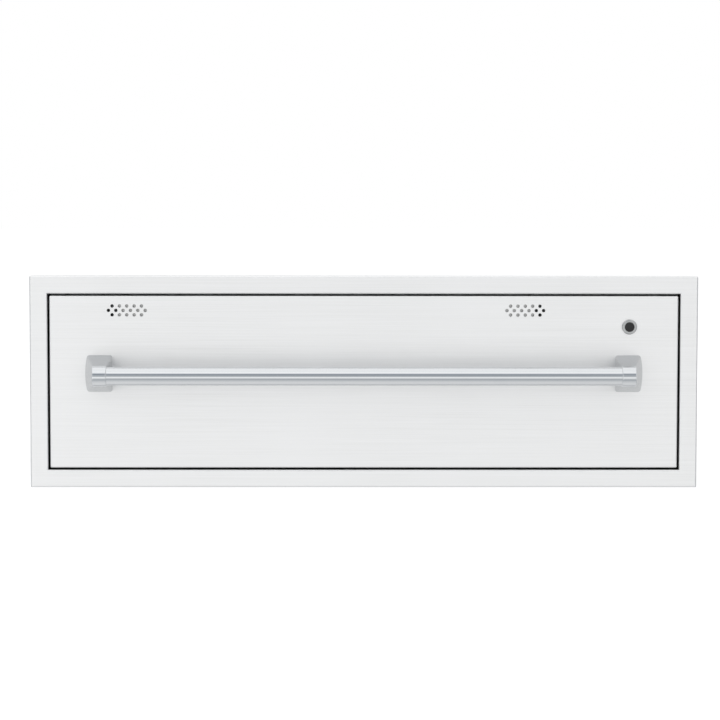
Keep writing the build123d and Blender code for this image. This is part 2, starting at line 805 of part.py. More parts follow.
# Each post is lofted from a barrel-shaped foot to a smaller rectangular face, set inboard.
post_foot_x = post_spacing / 2
post_inner_x = post_foot_x - post_base_width / 2
post_outer_x = post_foot_x + post_base_width / 2 - post_bulge
post_low_z = bar_z - post_base_height / 2
post_high_z = bar_z + post_base_height / 2
bar_end_x = post_inner_x + bar_socket
for side, side_name in ((-1, "left"), (1, "right")):
    with BuildPart() as handle_post:
        with BuildSketch(face_plane(0)) as post_foot:
            with BuildLine():
                Polyline(
                    (post_outer_x, post_high_z),
                    (post_inner_x, post_high_z),
                    (post_inner_x, post_low_z),
                    (post_outer_x, post_low_z),
                )
                ThreePointArc(
                    (post_outer_x, post_low_z),
                    (post_outer_x + post_bulge, bar_z),
                    (post_outer_x, post_high_z),
                )
            make_face()
            fillet(post_foot.vertices(), post_corner)
        with BuildSketch(face_plane(-post_length)):
            with Locations((post_foot_x - post_face_shift, bar_z)):
                RectangleRounded(post_face_width, post_face_height, post_edge)
        loft()
        fillet(handle_post.faces().sort_by(Axis.Y)[0].edges(), post_edge)
        with BuildSketch(Plane.YZ):
            with Locations((y_at(-bar_standoff), bar_z)):
                Circle(bar_diameter / 2 + fit_play)
        extrude(amount=bar_end_x, mode=Mode.SUBTRACT)
        with BuildSketch(face_plane(0)):
            with Locations((post_foot_x, bar_z)):
                with GridLocations(0, handle_screw_spacing, 1, 2):
                    Circle(handle_screw_radius + fit_play)
        extrude(amount=handle_screw_reach, mode=Mode.SUBTRACT)
        if side < 0:
            mirror(about=Plane.YZ, mode=Mode.REPLACE)
    save(handle_post, f"handle_post_{side_name}")

with BuildPart() as handle_bar:
    with BuildSketch(Plane.YZ.offset(-bar_end_x)):
        with Locations((y_at(-bar_standoff), bar_z)):
            Circle(bar_diameter / 2)
            Circle(bar_diameter / 2 - bar_wall, mode=Mode.SUBTRACT)
    extrude(amount=2 * bar_end_x)
save(handle_bar, "handle_bar")

# Two screws hold each post from inside the skin.
with BuildPart() as handle_screws:
    with BuildSketch(face_plane(door_sheet)):
        for centre in post_centres:
            with Locations(centre):
                with GridLocations(0, handle_screw_spacing, 1, 2):
                    Circle(handle_screw_head)
    extrude(amount=-handle_screw_head_height)
    fillet(handle_screws.faces().sort_by(Axis.Y)[-4:].edges(), handle_screw_head_height / 3)
    with BuildSketch(face_plane(door_sheet)):
        for centre in post_centres:
            with Locations(centre):
                with GridLocations(0, handle_screw_spacing, 1, 2):
                    Circle(handle_screw_radius)
    extrude(amount=handle_screw_reach)
save(handle_screws, "handle_screws")

# ---------------------------------------------------------------------------
# Push-button
# ---------------------------------------------------------------------------

button_centre = (button_x, button_z)
with BuildPart() as button_bezel:
    with BuildSketch(face_plane(0)):
        with Locations(button_centre):
            Circle(bezel_radius)
    extrude(amount=bezel_height)
    fillet(button_bezel.faces().sort_by(Axis.Y)[0].edges(), bezel_height / 2)
    with BuildSketch(face_plane(0)):
        with Locations(button_centre):
            Circle(sleeve_radius)
    extrude(amount=-sleeve_length)
    with BuildSketch(face_plane(-bezel_height)):
        with Locations(button_centre):
            Circle(cap_radius + button_play)
    extrude(amount=-(bezel_height + sleeve_length), mode=Mode.SUBTRACT)
save(button_bezel, "button_bezel")

with BuildPart() as button_nut:
    with BuildSketch(face_plane(door_sheet)):
        with Locations(button_centre):
            RegularPolygon(nut_width / 2, 6, major_radius=False)
            Circle(sleeve_radius + fit_play, mode=Mode.SUBTRACT)
    extrude(amount=-nut_height)
save(button_nut, "button_nut")

# The cap is slightly domed and pushes the switch with its stem.
with BuildPart() as power_button:
    with BuildSketch(face_plane(-bezel_height)):
        with Locations(button_centre):
            Circle(cap_radius)
    extrude(amount=-(bezel_height + cap_body_depth))
    extrude(power_button.faces().sort_by(Axis.Y)[0], amount=cap_rise, taper=cap_taper)
    with BuildSketch(face_plane(cap_body_depth)):
        with Locations(button_centre):
            Circle(plunger_radius)
    extrude(amount=cap_body_depth - sleeve_length - button_travel)
save(power_button, "power_button")

with BuildPart() as button_switch:
    with BuildSketch(face_plane(sleeve_length)):
        with Locations(button_centre):
            RectangleRounded(switch_size, switch_size, switch_corner)
    extrude(amount=-switch_depth)
    with BuildSketch(face_plane(sleeve_length)):
        with Locations(button_centre):
            Circle(plunger_radius + button_play)
    extrude(amount=-3 * button_travel, mode=Mode.SUBTRACT)
    with BuildSketch(face_plane(sleeve_length + switch_depth)):
        with Locations(button_centre):
            with GridLocations(switch_size / 2, 0, 2, 1):
                Rectangle(blade_sheet, switch_blade_width)
    extrude(amount=-switch_blade_length)
save(button_switch, "button_switch")

# ---------------------------------------------------------------------------
# Tub and the frame that carries it
# ---------------------------------------------------------------------------

# Deep-drawn tub: drafted walls, large radii and a flat rim that hangs on the frame.
tub_middle_y = y_at(tub_front_depth + tub_outer_length / 2)
with BuildPart() as tub_hollow:
    with BuildSketch(Plane.XY.offset(rim_z)):
        with Locations((tub_middle_x, tub_middle_y)):
            RectangleRounded(tub_width, tub_length, tub_corner - tub_sheet)
    extrude(amount=tub_sheet - tub_height, taper=tub_draft)
    fillet(tub_hollow.faces().sort_by(Axis.Z)[0].edges(), tub_foot_radius - tub_sheet)

with BuildPart() as tub:
    with BuildSketch(Plane.XY.offset(rim_z)):
        with Locations((tub_middle_x, tub_middle_y)):
            RectangleRounded(tub_outer_width, tub_outer_length, tub_corner)
    extrude(amount=-tub_height, taper=tub_draft)
    fillet(tub.faces().sort_by(Axis.Z)[0].edges(), tub_foot_radius)
    add(tub_hollow.part, mode=Mode.SUBTRACT)
    with BuildSketch(Plane.XY.offset(rim_z)):
        with Locations((tub_middle_x, tub_middle_y)):
            RectangleRounded(
                tub_outer_width + 2 * tub_rim, tub_outer_length + 2 * tub_rim, tub_corner + tub_rim
            )
            RectangleRounded(tub_width, tub_length, tub_corner - tub_sheet, mode=Mode.SUBTRACT)
    extrude(amount=tub_sheet)
save(tub, "tub")

# Each side is bent from one sheet: a wall on the slide, a shelf at rim height and a front lip.
# The right shelf is wide and is the control deck.
for side, side_name, shelf_x in ((-1, "left", -shelf_left_x), (1, "right", shelf_right_x)):
    with BuildPart() as drawer_side:
        with BuildSketch(face_plane(door_depth)):
            rectangle_between(shelf_x, bracket_x, bracket_low_z, rim_z)
            rectangle_between(
                shelf_x, bracket_x - bracket_sheet, bracket_low_z, rim_z - bracket_sheet, Mode.SUBTRACT
            )
        extrude(amount=door_depth - rear_wall_depth)
        with BuildSketch(face_plane(door_depth)):
            rectangle_between(bracket_x - bracket_lip, bracket_x, bracket_low_z, rim_z)
        extrude(amount=-bracket_sheet)
        if side > 0:
            with BuildSketch(Plane.XY.offset(rim_z)):
                with Locations((knob_x, y_at(knob_depth))):
                    Circle(bush_radius + fit_play)
            extrude(amount=-bracket_sheet, mode=Mode.SUBTRACT)
        else:
            mirror(about=Plane.YZ, mode=Mode.REPLACE)
    save(drawer_side, f"drawer_side_{side_name}")

with BuildPart() as drawer_rear:
    with BuildSketch(face_plane(rear_wall_depth)):
        rectangle_between(-bracket_x, bracket_x, slide_z, rim_z)
    extrude(amount=-bracket_sheet)
    with BuildSketch(Plane.XY.offset(rim_z)):
        rectangle_between(
            shelf_left_x + hole_play,
            shelf_right_x - hole_play,
            y_at(tub_back_depth + bracket_gap),
            y_at(rear_wall_depth),
        )
    extrude(amount=-bracket_sheet)
save(drawer_rear, "drawer_rear")

with BuildPart() as tub_ledge:
    with BuildSketch(Plane.YZ.offset(shelf_left_x + hole_play)):
        rectangle_between(
            y_at(door_depth), y_at(tub_front_depth - bracket_gap), rim_z - bracket_sheet, rim_z
        )
        rectangle_between(y_at(door_depth), y_at(door_depth + bracket_sheet), rim_z - ledge_leg, rim_z)
    extrude(amount=shelf_right_x - shelf_left_x - 2 * hole_play)
    with BuildSketch(face_plane(door_depth)):
        rectangle_between(-bracket_x, bracket_lip + hole_play - bracket_x, rim_z - ledge_leg, rim_z)
    extrude(amount=-bracket_sheet, mode=Mode.SUBTRACT)
save(tub_ledge, "tub_ledge")

# ---------------------------------------------------------------------------
# Control box, thermostat and knob
# ---------------------------------------------------------------------------

box_front_depth = door_depth + bracket_sheet + box_front_gap
box_high_z = rim_z - bracket_sheet
with BuildPart() as control_box:
    with BuildSketch(Plane.XY.offset(box_high_z)):
        with Locations((knob_x, y_at(box_front_depth + box_length / 2))):
            Rectangle(box_width, box_length)
    extrude(amount=-box_height)
    offset(amount=-box_sheet, openings=control_box.faces().sort_by(Axis.Z)[-1])
save(control_box, "control_box")

with BuildPart() as thermostat:
    with BuildSketch(Plane.XY.offset(box_high_z)):
        with Locations((knob_x, y_at(knob_depth))):
            RectangleRounded(thermostat_size, thermostat_size, thermostat_corner)
    extrude(amount=-thermostat_height)
    with BuildSketch(Plane.XY.offset(box_high_z)):
        with Locations((knob_x, y_at(knob_depth))):
            Circle(bush_radius)
    extrude(amount=bracket_sheet + bush_height)
    with BuildSketch(Plane.XY.offset(rim_z + bush_height)):
        with Locations((knob_x, y_at(knob_depth))):
            Circle(shaft_radius + fit_play)
    extrude(amount=-thermostat_height / 2, mode=Mode.SUBTRACT)
save(thermostat, "thermostat")

knob_low_z = rim_z + hole_play
knob_high_z = knob_low_z + knob_height
shaft_low_z = rim_z + bush_height - thermostat_height / 2 + hole_play
shaft_high_z = knob_high_z - knob_skirt
with BuildPart() as thermostat_shaft:
    with BuildSketch(Plane.XY.offset(shaft_low_z)):
        with Locations((knob_x, y_at(knob_depth))):
            Circle(shaft_radius)
    extrude(amount=shaft_high_z - shaft_low_z)
save(thermostat_shaft, "thermostat_shaft")

# A skirted knob with a straight grip across it, hollow underneath round the bush.
with BuildPart() as thermostat_knob:
    with BuildSketch(Plane.XY.offset(knob_low_z)):
        with Locations((knob_x, y_at(knob_depth))):
            Circle(knob_radius)
    extrude(amount=knob_height / 2, taper=knob_taper)
    with BuildSketch(Plane.XY.offset(knob_low_z)):
        with Locations((knob_x, y_at(knob_depth))):
            SlotOverall(2 * knob_radius - knob_skirt, grip_width, rotation=90)
    extrude(amount=knob_height)
    fillet(thermostat_knob.faces().sort_by(Axis.Z)[-1].edges(), grip_width / 8)
    with BuildSketch(Plane.XY.offset(knob_low_z)):
        with Locations((knob_x, y_at(knob_depth))):
            Circle(bush_radius + 2 * hole_play)
    extrude(amount=bush_height + hole_play, mode=Mode.SUBTRACT)
    with BuildSketch(Plane.XY.offset(knob_low_z)):
        with Locations((knob_x, y_at(knob_depth))):
            Circle(shaft_radius + fit_play)
    extrude(amount=shaft_high_z - knob_low_z, mode=Mode.SUBTRACT)
save(thermostat_knob, "thermostat_knob")

# ---------------------------------------------------------------------------
# Ball-bearing slides
# ---------------------------------------------------------------------------

# Sections are drawn on a plane with x running inward from the cavity wall and y up. Each member
# is a sheet of one thickness, rolled round the balls. The drawn line is its face on the races.
race_radius = ball_radius + ball_play
race_chord = (race_radius**2 - (race_radius - groove_depth) ** 2) ** 0.5
under_radius = race_radius + member_sheet
under_chord = (under_radius**2 - (under_radius - groove_depth) ** 2) ** 0.5

outer_flange_y = slide_half_height - groove_depth - member_sheet
outer_ball_y = outer_flange_y + groove_depth - race_radius
middle_top_y = outer_ball_y - race_radius + groove_depth
middle_under_y = middle_top_y - member_sheet
inner_ball_y = middle_under_y + groove_depth - race_radius
inner_flange_y = inner_ball_y - race_radius + groove_depth

inner_web_x = slide_width - member_sheet
outer_lip_x = slide_width - member_sheet - lip_gap
middle_web_x = member_sheet + 2 * member_gap + cage_sheet
middle_lip_x = outer_lip_x - member_gap - member_sheet
inner_tip_x = inner_ball_x - race_radius


def slide_plane(side, depth):
    """Section plane of the slide on one side: x inward from the cavity wall, y up."""
    return Plane(
        origin=(side * cavity_inside_x, y_at(depth), slide_z), x_dir=(-side, 0, 0), z_dir=(0, side, 0)
    )


def section(left_x, right_x, flange_y, left_bend, right_bend, *races):
    """Closed section between a profile and its mirror image, with rounded corners.

    Each race is the x of its balls, its half width where it leaves the flange, and its rise.
    """
    with BuildSketch() as region:
        with BuildLine():
            first_x = races[0][0] - races[0][1]
            FilletPolyline((left_x, 0), (left_x, flange_y), (first_x, flange_y), radius=left_bend)
            start_x = first_x
            for ball_x, chord, rise in races:
                if ball_x - chord > start_x:
                    Line((start_x, flange_y), (ball_x - chord, flange_y))
                ThreePointArc(
                    (ball_x - chord, flange_y), (ball_x, flange_y + rise), (ball_x + chord, flange_y)
                )
                start_x = ball_x + chord
            FilletPolyline((start_x, flange_y), (right_x, flange_y), (right_x, 0), radius=right_bend)
            mirror(about=Plane.XZ)
        make_face()
    return region.sketch


over_race = (race_chord, groove_depth)
over_bead = (under_chord, groove_depth)
under_race = (race_chord, -groove_depth)
under_bead = (under_chord, -groove_depth)
outside_bend = member_sheet
inside_bend = member_sheet / 6

outer_top_y = outer_flange_y + member_sheet
outer_outside = section(
    0, outer_lip_x + member_sheet, outer_top_y, outside_bend, outside_bend, (outer_ball_x, *over_bead)
)
outer_inside = section(
    member_sheet, outer_lip_x, outer_flange_y, inside_bend, inside_bend, (outer_ball_x, *over_race)
)
middle_outside = section(
    middle_web_x,
    middle_lip_x + member_sheet,
    middle_top_y,
    outside_bend,
    outside_bend,
    (outer_ball_x, *under_race),
    (inner_ball_x, *over_bead),
)
middle_inside = section(
    middle_web_x + member_sheet,
    middle_lip_x,
    middle_under_y,
    inside_bend,
    inside_bend,
    (outer_ball_x, *under_bead),
    (inner_ball_x, *over_race),
)
inner_outside = section(
    inner_tip_x, slide_width, inner_flange_y, 0, outside_bend, (inner_ball_x, *under_race)
)
inner_inside = section(
    inner_tip_x, inner_web_x, inner_flange_y - member_sheet, 0, inside_bend, (inner_ball_x, *under_bead)
)

# Name, web, flange level, ball and free edge of the two cages
cage_sections = (
    (
        "outer",
        member_sheet + member_gap,
        outer_ball_y,
        outer_ball_x,
        outer_ball_x + race_radius + 2 * cage_sheet,
    ),
    (
        "inner",
        middle_web_x + member_sheet + member_gap,
        inner_ball_y,
        inner_ball_x,
        middle_lip_x - member_gap,
    ),
)

for side, side_name in ((-1, "left"), (1, "right")):
    with BuildPart() as slide_outer:
        with BuildSketch(slide_plane(side, slide_start_depth)):
            add(outer_outside)
            add(outer_inside, mode=Mode.SUBTRACT)
            mouth_y = outer_top_y - lip_drop
            rectangle_between(outer_lip_x, slide_width, -mouth_y, mouth_y, mode=Mode.SUBTRACT)
        extrude(amount=side * slide_length)
    save(slide_outer, f"slide_outer_{side_name}")

    with BuildPart() as slide_middle:
        with BuildSketch(slide_plane(side, slide_start_depth)):
            add(middle_outside)
            add(middle_inside, mode=Mode.SUBTRACT)
            mouth_y = inner_flange_y + 2 * member_gap
            rectangle_between(middle_lip_x, slide_width, -mouth_y, mouth_y, mode=Mode.SUBTRACT)
        extrude(amount=side * slide_length)
    save(slide_middle, f"slide_middle_{side_name}")

    with BuildPart() as slide_inner:
        with BuildSketch(slide_plane(side, slide_start_depth)):
            add(inner_outside)
            add(inner_inside, mode=Mode.SUBTRACT)
        extrude(amount=side * slide_length)
    save(slide_inner, f"slide_inner_{side_name}")

    # Two ball cages a side: a strip folded round the race, with a pocket for each ball.
    for cage_name, web_x, flange_y, ball_x, edge_x in cage_sections:
        cage_start_depth = slide_start_depth + (slide_length - cage_length) / 2
        with BuildPart() as ball_cage:
            with BuildSketch(slide_plane(side, cage_start_depth)):
                rectangle_between(web_x, edge_x, -flange_y - cage_sheet / 2, flange_y + cage_sheet / 2)
                rectangle_between(
                    web_x + cage_sheet,
                    edge_x,
                    cage_sheet / 2 - flange_y,
                    flange_y - cage_sheet / 2,
                    mode=Mode.SUBTRACT,
                )
            extrude(amount=side * cage_length)
            ball_plane = Plane.XY.offset(slide_z)
            ball_world_x = side * (cavity_inside_x - ball_x)
            ball_world_y = y_at(cage_start_depth + cage_length / 2)
            with BuildSketch(ball_plane):
                with Locations((ball_world_x, ball_world_y)):
                    with GridLocations(0, ball_pitch, 1, balls_per_row):
                        Circle(ball_radius + cage_pocket_play)
            extrude(amount=slide_half_height, both=True, mode=Mode.SUBTRACT)
            with Locations(
                (ball_world_x, ball_world_y, slide_z + flange_y),
                (ball_world_x, ball_world_y, slide_z - flange_y),
            ):
                with GridLocations(0, ball_pitch, 1, balls_per_row):
                    Sphere(ball_radius)
        save(ball_cage, f"ball_cage_{cage_name}_{side_name}")
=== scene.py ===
"""Built-in warming drawer: finishes, fine pieces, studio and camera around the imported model."""

import json
import logging
import math
from dataclasses import dataclass, field
from enum import Enum
from typing import Any

import bpy
import numpy as np
from mathutils import Matrix, Vector


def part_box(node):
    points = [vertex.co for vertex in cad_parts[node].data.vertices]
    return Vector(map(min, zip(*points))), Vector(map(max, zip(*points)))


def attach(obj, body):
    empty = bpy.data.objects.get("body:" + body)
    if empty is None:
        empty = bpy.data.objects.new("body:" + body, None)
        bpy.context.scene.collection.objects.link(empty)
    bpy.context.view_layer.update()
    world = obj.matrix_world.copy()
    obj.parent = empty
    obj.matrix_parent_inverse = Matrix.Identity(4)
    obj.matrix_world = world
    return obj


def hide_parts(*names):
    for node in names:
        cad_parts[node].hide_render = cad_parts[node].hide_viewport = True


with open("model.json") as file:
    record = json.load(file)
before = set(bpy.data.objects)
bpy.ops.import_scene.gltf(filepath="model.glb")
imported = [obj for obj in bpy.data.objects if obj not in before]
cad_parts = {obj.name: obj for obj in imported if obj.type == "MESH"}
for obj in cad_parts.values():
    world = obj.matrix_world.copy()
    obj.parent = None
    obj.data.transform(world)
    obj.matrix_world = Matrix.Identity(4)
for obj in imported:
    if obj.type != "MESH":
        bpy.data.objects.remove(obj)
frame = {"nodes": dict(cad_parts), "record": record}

MM = 0.001
LOG = logging.getLogger("warming_drawer")
Piece = bpy.types.Object
Socket = bpy.types.NodeSocket
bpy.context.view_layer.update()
SHARP_ANGLE = math.radians(35)
BOX_FACES = np.array([(3, 2, 1, 0), (4, 5, 6, 7), (0, 1, 5, 4), (1, 2, 6, 5), (2, 3, 7, 6), (3, 0, 4, 7)])


class Body(Enum):
    """Bodies of the model that new pieces ride on."""

    CASE = "case"
    DRAWER = "drawer"
    KNOB = "thermostat_knob"


class Slot(Enum):
    """Material slots of the record."""

    BRUSHED = "brushed_stainless"
    SATIN = "satin_stainless"
    GALVANISED = "galvanised_sheet"
    WOOL = "mineral_wool"
    CHROME = "polished_chrome"
    ZINC = "zinc_plated_steel"
    PLASTIC = "black_plastic"
    ELEMENT = "sheathed_element"
    CERAMIC = "ceramic"
    SEAL = "silicone_seal"


# ---------------------------------------------------------------------------
# Colour and node helpers
# ---------------------------------------------------------------------------


def linear(hex_colour: str) -> tuple[float, float, float, float]:
    """Turn an sRGB hex colour into a linear one.

    Args:
        hex_colour: six hex digits, with or without a leading hash.

    Returns:
        Red, green, blue and alpha, linear.
    """
    digits = hex_colour.lstrip("#")
    coded = np.array([int(digits[i:i + 2], 16) for i in (0, 2, 4)]) / 255.0
    light = np.where(coded <= 0.04045, coded / 12.92, ((coded + 0.055) / 1.055) ** 2.4)
    return (*light.tolist(), 1.0)


@dataclass
class Graph:
    """A shader tree that nodes are added to."""

    tree: bpy.types.NodeTree

    def add(self, kind: str, inputs: dict[Any, Any] | None = None, **settings: Any) -> bpy.types.Node:
        """Add a node with its settings, values and links.

        Args:
            kind: Blender's name for the node, without the ShaderNode in front.
            inputs: what each input gets, by the input's name or number.
            settings: the node's own properties; stops is a list of (position, hex colour) for a ramp.

        Returns:
            The new node.
        """
        made = self.tree.nodes.new("ShaderNode" + kind)
        stops = settings.pop("stops", None)
        for name, value in settings.items():
            setattr(made, name, value)
        if stops:
            ramp = made.color_ramp
            while len(ramp.elements) < len(stops):
                ramp.elements.new(1.0)
            for element, (position, colour) in zip(ramp.elements, stops):
                element.position = position
                element.color = linear(colour)
        for name, value in (inputs or {}).items():
            self.feed(made.inputs[name], value)
        return made

    def feed(self, socket: Socket, value: Any) -> None:
        """Give an input a number, a hex colour or a link from a socket or a node's output in use."""
        if isinstance(value, bpy.types.Node):
            value = next(output for output in value.outputs if output.enabled)
        if isinstance(value, Socket):
            self.tree.links.new(value, socket)
        elif isinstance(value, str):
            socket.default_value = linear(value)
        else:
            socket.default_value = value


@dataclass(frozen=True)
class Finish:
    """One real material with the way that its surface was made.

    A pattern's scale is in cells per metre, and the comment beside it gives a cell's real size.
    """

    name: str
    colour: str
    metallic: float
    roughness: float

    def material(self) -> bpy.types.Material:
        """Make the finish's material, or give it back if it is made already."""
        made = bpy.data.materials.get(self.name)
        if made:
            return made
        made = bpy.data.materials.new(self.name)
        made.use_nodes = True
        made.diffuse_color = linear(self.colour)
        graph = Graph(made.node_tree)
        shader = next(n for n in made.node_tree.nodes if n.bl_idname == "ShaderNodeBsdfPrincipled")
        plain = {"Metallic": self.metallic, "Roughness": self.roughness, "Base Color": self.colour}
        pattern = self.paint(graph, graph.add("TexCoord").outputs["Object"])
        for name, value in (*plain.items(), *pattern.items()):
            graph.feed(shader.inputs[name], value)
        return made

    def paint(self, graph: Graph, place: Socket) -> dict[str, Any]:
        """Lay the finish's pattern.

        Args:
            graph: the material's tree.
            place: the object's coordinates in metres.

        Returns:
            What feeds each input of the shader.
        """
        raise NotImplementedError

    def dress(self, *pieces: Piece) -> None:
        """Give the finish to whole pieces."""
        for piece in pieces:
            piece.data.materials.clear()
            piece.data.materials.append(self.material())


@dataclass(frozen=True)
class BrushedStainless(Finish):
    """Stainless sheet, brushed along X: fine parallel lines that smear reflections up and down.

    Real lines are about 0.1 mm apart, too fine to show, so they are drawn at line_pitch.
    """

    worn: str = "#E8E8E7"
    line_length: float = 160 * MM
    line_pitch: float = 1.1 * MM
    cloud: float = 7.0  # handling marks, 140 mm
    depth: float = 0.012
    spread: float = 0.02

    def paint(self, graph: Graph, place: Socket) -> dict[str, Any]:
        """Stretch one noise along X and Y for the lines, with a slow cloud for handling marks."""
        along, across = 1 / self.line_length, 1 / self.line_pitch
        lines = graph.add("Mapping", {"Vector": place, "Scale": (along, along, across)})
        grain = graph.add("TexNoise", {"Vector": lines, "Scale": 1.0, "Detail": 4.0, "Roughness": 0.7})
        cloud = graph.add("TexNoise", {"Vector": place, "Scale": self.cloud, "Detail": 3.0})
        levels = graph.add("MapRange", {0: grain, 1: 0.3, 2: 0.7})
        marks = graph.add("Math", {0: levels, 1: cloud}, operation="MULTIPLY")
        low, high = self.roughness - self.spread, self.roughness + self.spread
        return {
            "Base Color": graph.add("Mix", {0: marks, 6: self.colour, 7: self.worn}, data_type="RGBA"),
            "Roughness": graph.add("MapRange", {0: levels, 3: low, 4: high}),
            "Normal": graph.add("Bump", {"Height": grain, "Strength": self.depth, "Distance": 0.0002}),
        }


@dataclass(frozen=True)
class GalvanisedSheet(Finish):
    """Hot-dipped zinc on sheet: flat crystals of slightly different grey."""

    crystal: float = 6 * MM
    dark: str = "#A2A7AA"
    light: str = "#B8BDBF"
    bend: float = 160.0  # wander of the crystals' edges, 6 mm
    wander: float = 0.004
    frost: float = 900.0  # 1.1 mm

    def paint(self, graph: Graph, place: Socket) -> dict[str, Any]:
        """Give each crystal cell its own grey and gloss, with a fine frost over it."""
        bend = graph.add("TexNoise", {"Vector": place, "Scale": self.bend, "Detail": 2.0})
        moved = graph.add("Mix", {0: self.wander, 4: place, 5: bend.outputs[1]}, data_type="VECTOR")
        cells = graph.add("TexVoronoi", {"Vector": moved, "Scale": 1 / self.crystal})
        tone = graph.add("SeparateColor", {0: cells.outputs["Color"]})
        frost = graph.add("TexNoise", {"Vector": place, "Scale": self.frost, "Detail": 3.0})
        blend = graph.add("Mix", {0: 0.25, 2: tone.outputs[0], 3: frost}, data_type="FLOAT")
        low, high = self.roughness - 0.1, self.roughness + 0.12
        return {
            "Base Color": graph.add("Mix", {0: blend, 6: self.dark, 7: self.light}, data_type="RGBA"),
            "Roughness": graph.add("MapRange", {0: tone.outputs[1], 3: low, 4: high}),
            "Normal": graph.add("Bump", {"Height": blend, "Strength": 0.12, "Distance": 0.0002}),
        }


@dataclass(frozen=True)
class PolishedChrome(Finish):
    """Bright chrome plating, buffed: a clear mirror with hair-fine lines and faint finger haze.

    Real buffing lines are finer than 0.1 mm, too fine to show, so they are drawn 1.4 mm apart.
    """

    haze: str = "#C9CDD1"
    lines: tuple[float, float, float] = (9.0, 700.0, 700.0)  # 110 mm long
    smudge: float = 45.0  # finger haze, 22 mm

    def paint(self, graph: Graph, place: Socket) -> dict[str, Any]:
        """Vary the gloss with a smudge cloud and lay buffing lines along X."""
        lines = graph.add("Mapping", {"Vector": place, "Scale": self.lines})
        buff = graph.add("TexNoise", {"Vector": lines, "Scale": 1.0, "Detail": 2.0})
        smudge = graph.add("TexNoise", {"Vector": place, "Scale": self.smudge, "Detail": 4.0})
        levels = graph.add("MapRange", {0: smudge, 1: 0.5, 2: 0.8, 3: 0.0, 4: 0.15})
        mixed = graph.add("Mix", {0: 0.6, 2: smudge, 3: buff}, data_type="FLOAT")
        low, high = self.roughness * 0.92, self.roughness * 1.1
        return {
            "Base Color": graph.add("Mix", {0: levels, 6: self.colour, 7: self.haze}, data_type="RGBA"),
            "Roughness": graph.add("MapRange", {0: mixed, 1: 0.3, 2: 0.7, 3: low, 4: high}),
            "Normal": graph.add("Bump", {"Height": buff, "Strength": 0.03, "Distance": 0.0001}),
        }


@dataclass(frozen=True)
class ZincPlated(Finish):
    """Rolled steel with clear passivated zinc: cool grey, drawn along Y, with a faint straw tint.

    Real rolling lines are finer than 0.1 mm, too fine to show, so they are drawn 1.1 mm apart.
    """

    tint: str = "#C6C3B4"
    lines: tuple[float, float, float] = (900.0, 12.0, 900.0)  # 80 mm long
    cloud: float = 60.0  # passivation, 17 mm

    def paint(self, graph: Graph, place: Socket) -> dict[str, Any]:
        """Draw rolling lines along Y and let a cloud carry the tint."""
        lines = graph.add("Mapping", {"Vector": place, "Scale": self.lines})
        rolled = graph.add("TexNoise", {"Vector": lines, "Scale": 1.0, "Detail": 3.0})
        cloud = graph.add("TexNoise", {"Vector": place, "Scale": self.cloud, "Detail": 3.0})
        low, high = self.roughness - 0.06, self.roughness + 0.1
        return {
            "Base Color": graph.add("Mix", {0: cloud, 6: self.colour, 7: self.tint}, data_type="RGBA"),
            "Roughness": graph.add("MapRange", {0: rolled, 1: 0.3, 2: 0.7, 3: low, 4: high}),
            "Normal": graph.add("Bump", {"Height": rolled, "Strength": 0.08, "Distance": 0.0001}),
        }


@dataclass(frozen=True)
class MouldedPlastic(Finish):
    """Spark-eroded mould texture on dark plastic: a fine pebble grain that breaks the highlight.

    A real grain of 0.1 mm is too fine to show, so it is drawn 0.5 mm wide.
    """

    grain: float = 0.5 * MM
    worn: str = "#222223"
    rub: float = 120.0  # rubbed patches, 8 mm

    def paint(self, graph: Graph, place: Socket) -> dict[str, Any]:
        """Raise the pebble grain and rub its tops a little lighter."""
        pebble = graph.add("TexNoise", {"Vector": place, "Scale": 1 / self.grain, "Detail": 2.0})
        rub = graph.add("TexNoise", {"Vector": place, "Scale": self.rub, "Detail": 3.0})
        amount = graph.add("MapRange", {0: rub, 1: 0.45, 2: 0.75, 3: 0.0, 4: 0.6})
        low, high = self.roughness - 0.1, self.roughness + 0.15
        return {
            "Base Color": graph.add("Mix", {0: amount, 6: self.colour, 7: self.worn}, data_type="RGBA"),
            "Roughness": graph.add("MapRange", {0: pebble, 3: low, 4: high}),
            "Normal": graph.add("Bump", {"Height": pebble, "Strength": 0.25, "Distance": 0.0001}),
        }


@dataclass(frozen=True)
class MineralWool(Finish):
    """Bonded rock wool: matt ochre-grey fibres with small darker clots.

    Real fibres are a few thousandths of a millimetre thick, so they are drawn 0.7 mm apart.
    """

    clot: str = "#6E6653"
    tip: str = "#C9BE9C"
    along: float = 180.0  # a fibre's visible length, 6 mm
    across: float = 1500.0
    ground: float = 90.0  # clots, 11 mm

    def paint(self, graph: Graph, place: Socket) -> dict[str, Any]:
        """Cross two stretched noises for the fibres and spot it with clots."""
        crossed = []
        for scale in ((self.along, self.across, self.across), (self.across, self.along, self.across)):
            drawn = graph.add("Mapping", {"Vector": place, "Scale": scale})
            noise = {"Vector": drawn, "Scale": 1.0, "Detail": 3.0, "Distortion": 0.6}
            crossed.append(graph.add("TexNoise", noise))
        fibres = graph.add("Math", dict(enumerate(crossed)), operation="MAXIMUM")
        lift = graph.add("MapRange", {0: fibres, 1: 0.4, 2: 0.75})
        ground = graph.add("TexNoise", {"Vector": place, "Scale": self.ground, "Detail": 4.0})
        dark = graph.add("MapRange", {0: ground, 1: 0.5, 2: 0.8, 3: 0.0, 4: 0.8})
        body = graph.add("Mix", {0: dark, 6: self.colour, 7: self.clot}, data_type="RGBA")
        return {
            "Base Color": graph.add("Mix", {0: lift, 6: body, 7: self.tip}, data_type="RGBA"),
            "Normal": graph.add("Bump", {"Height": fibres, "Strength": 0.8, "Distance": 0.001}),
        }


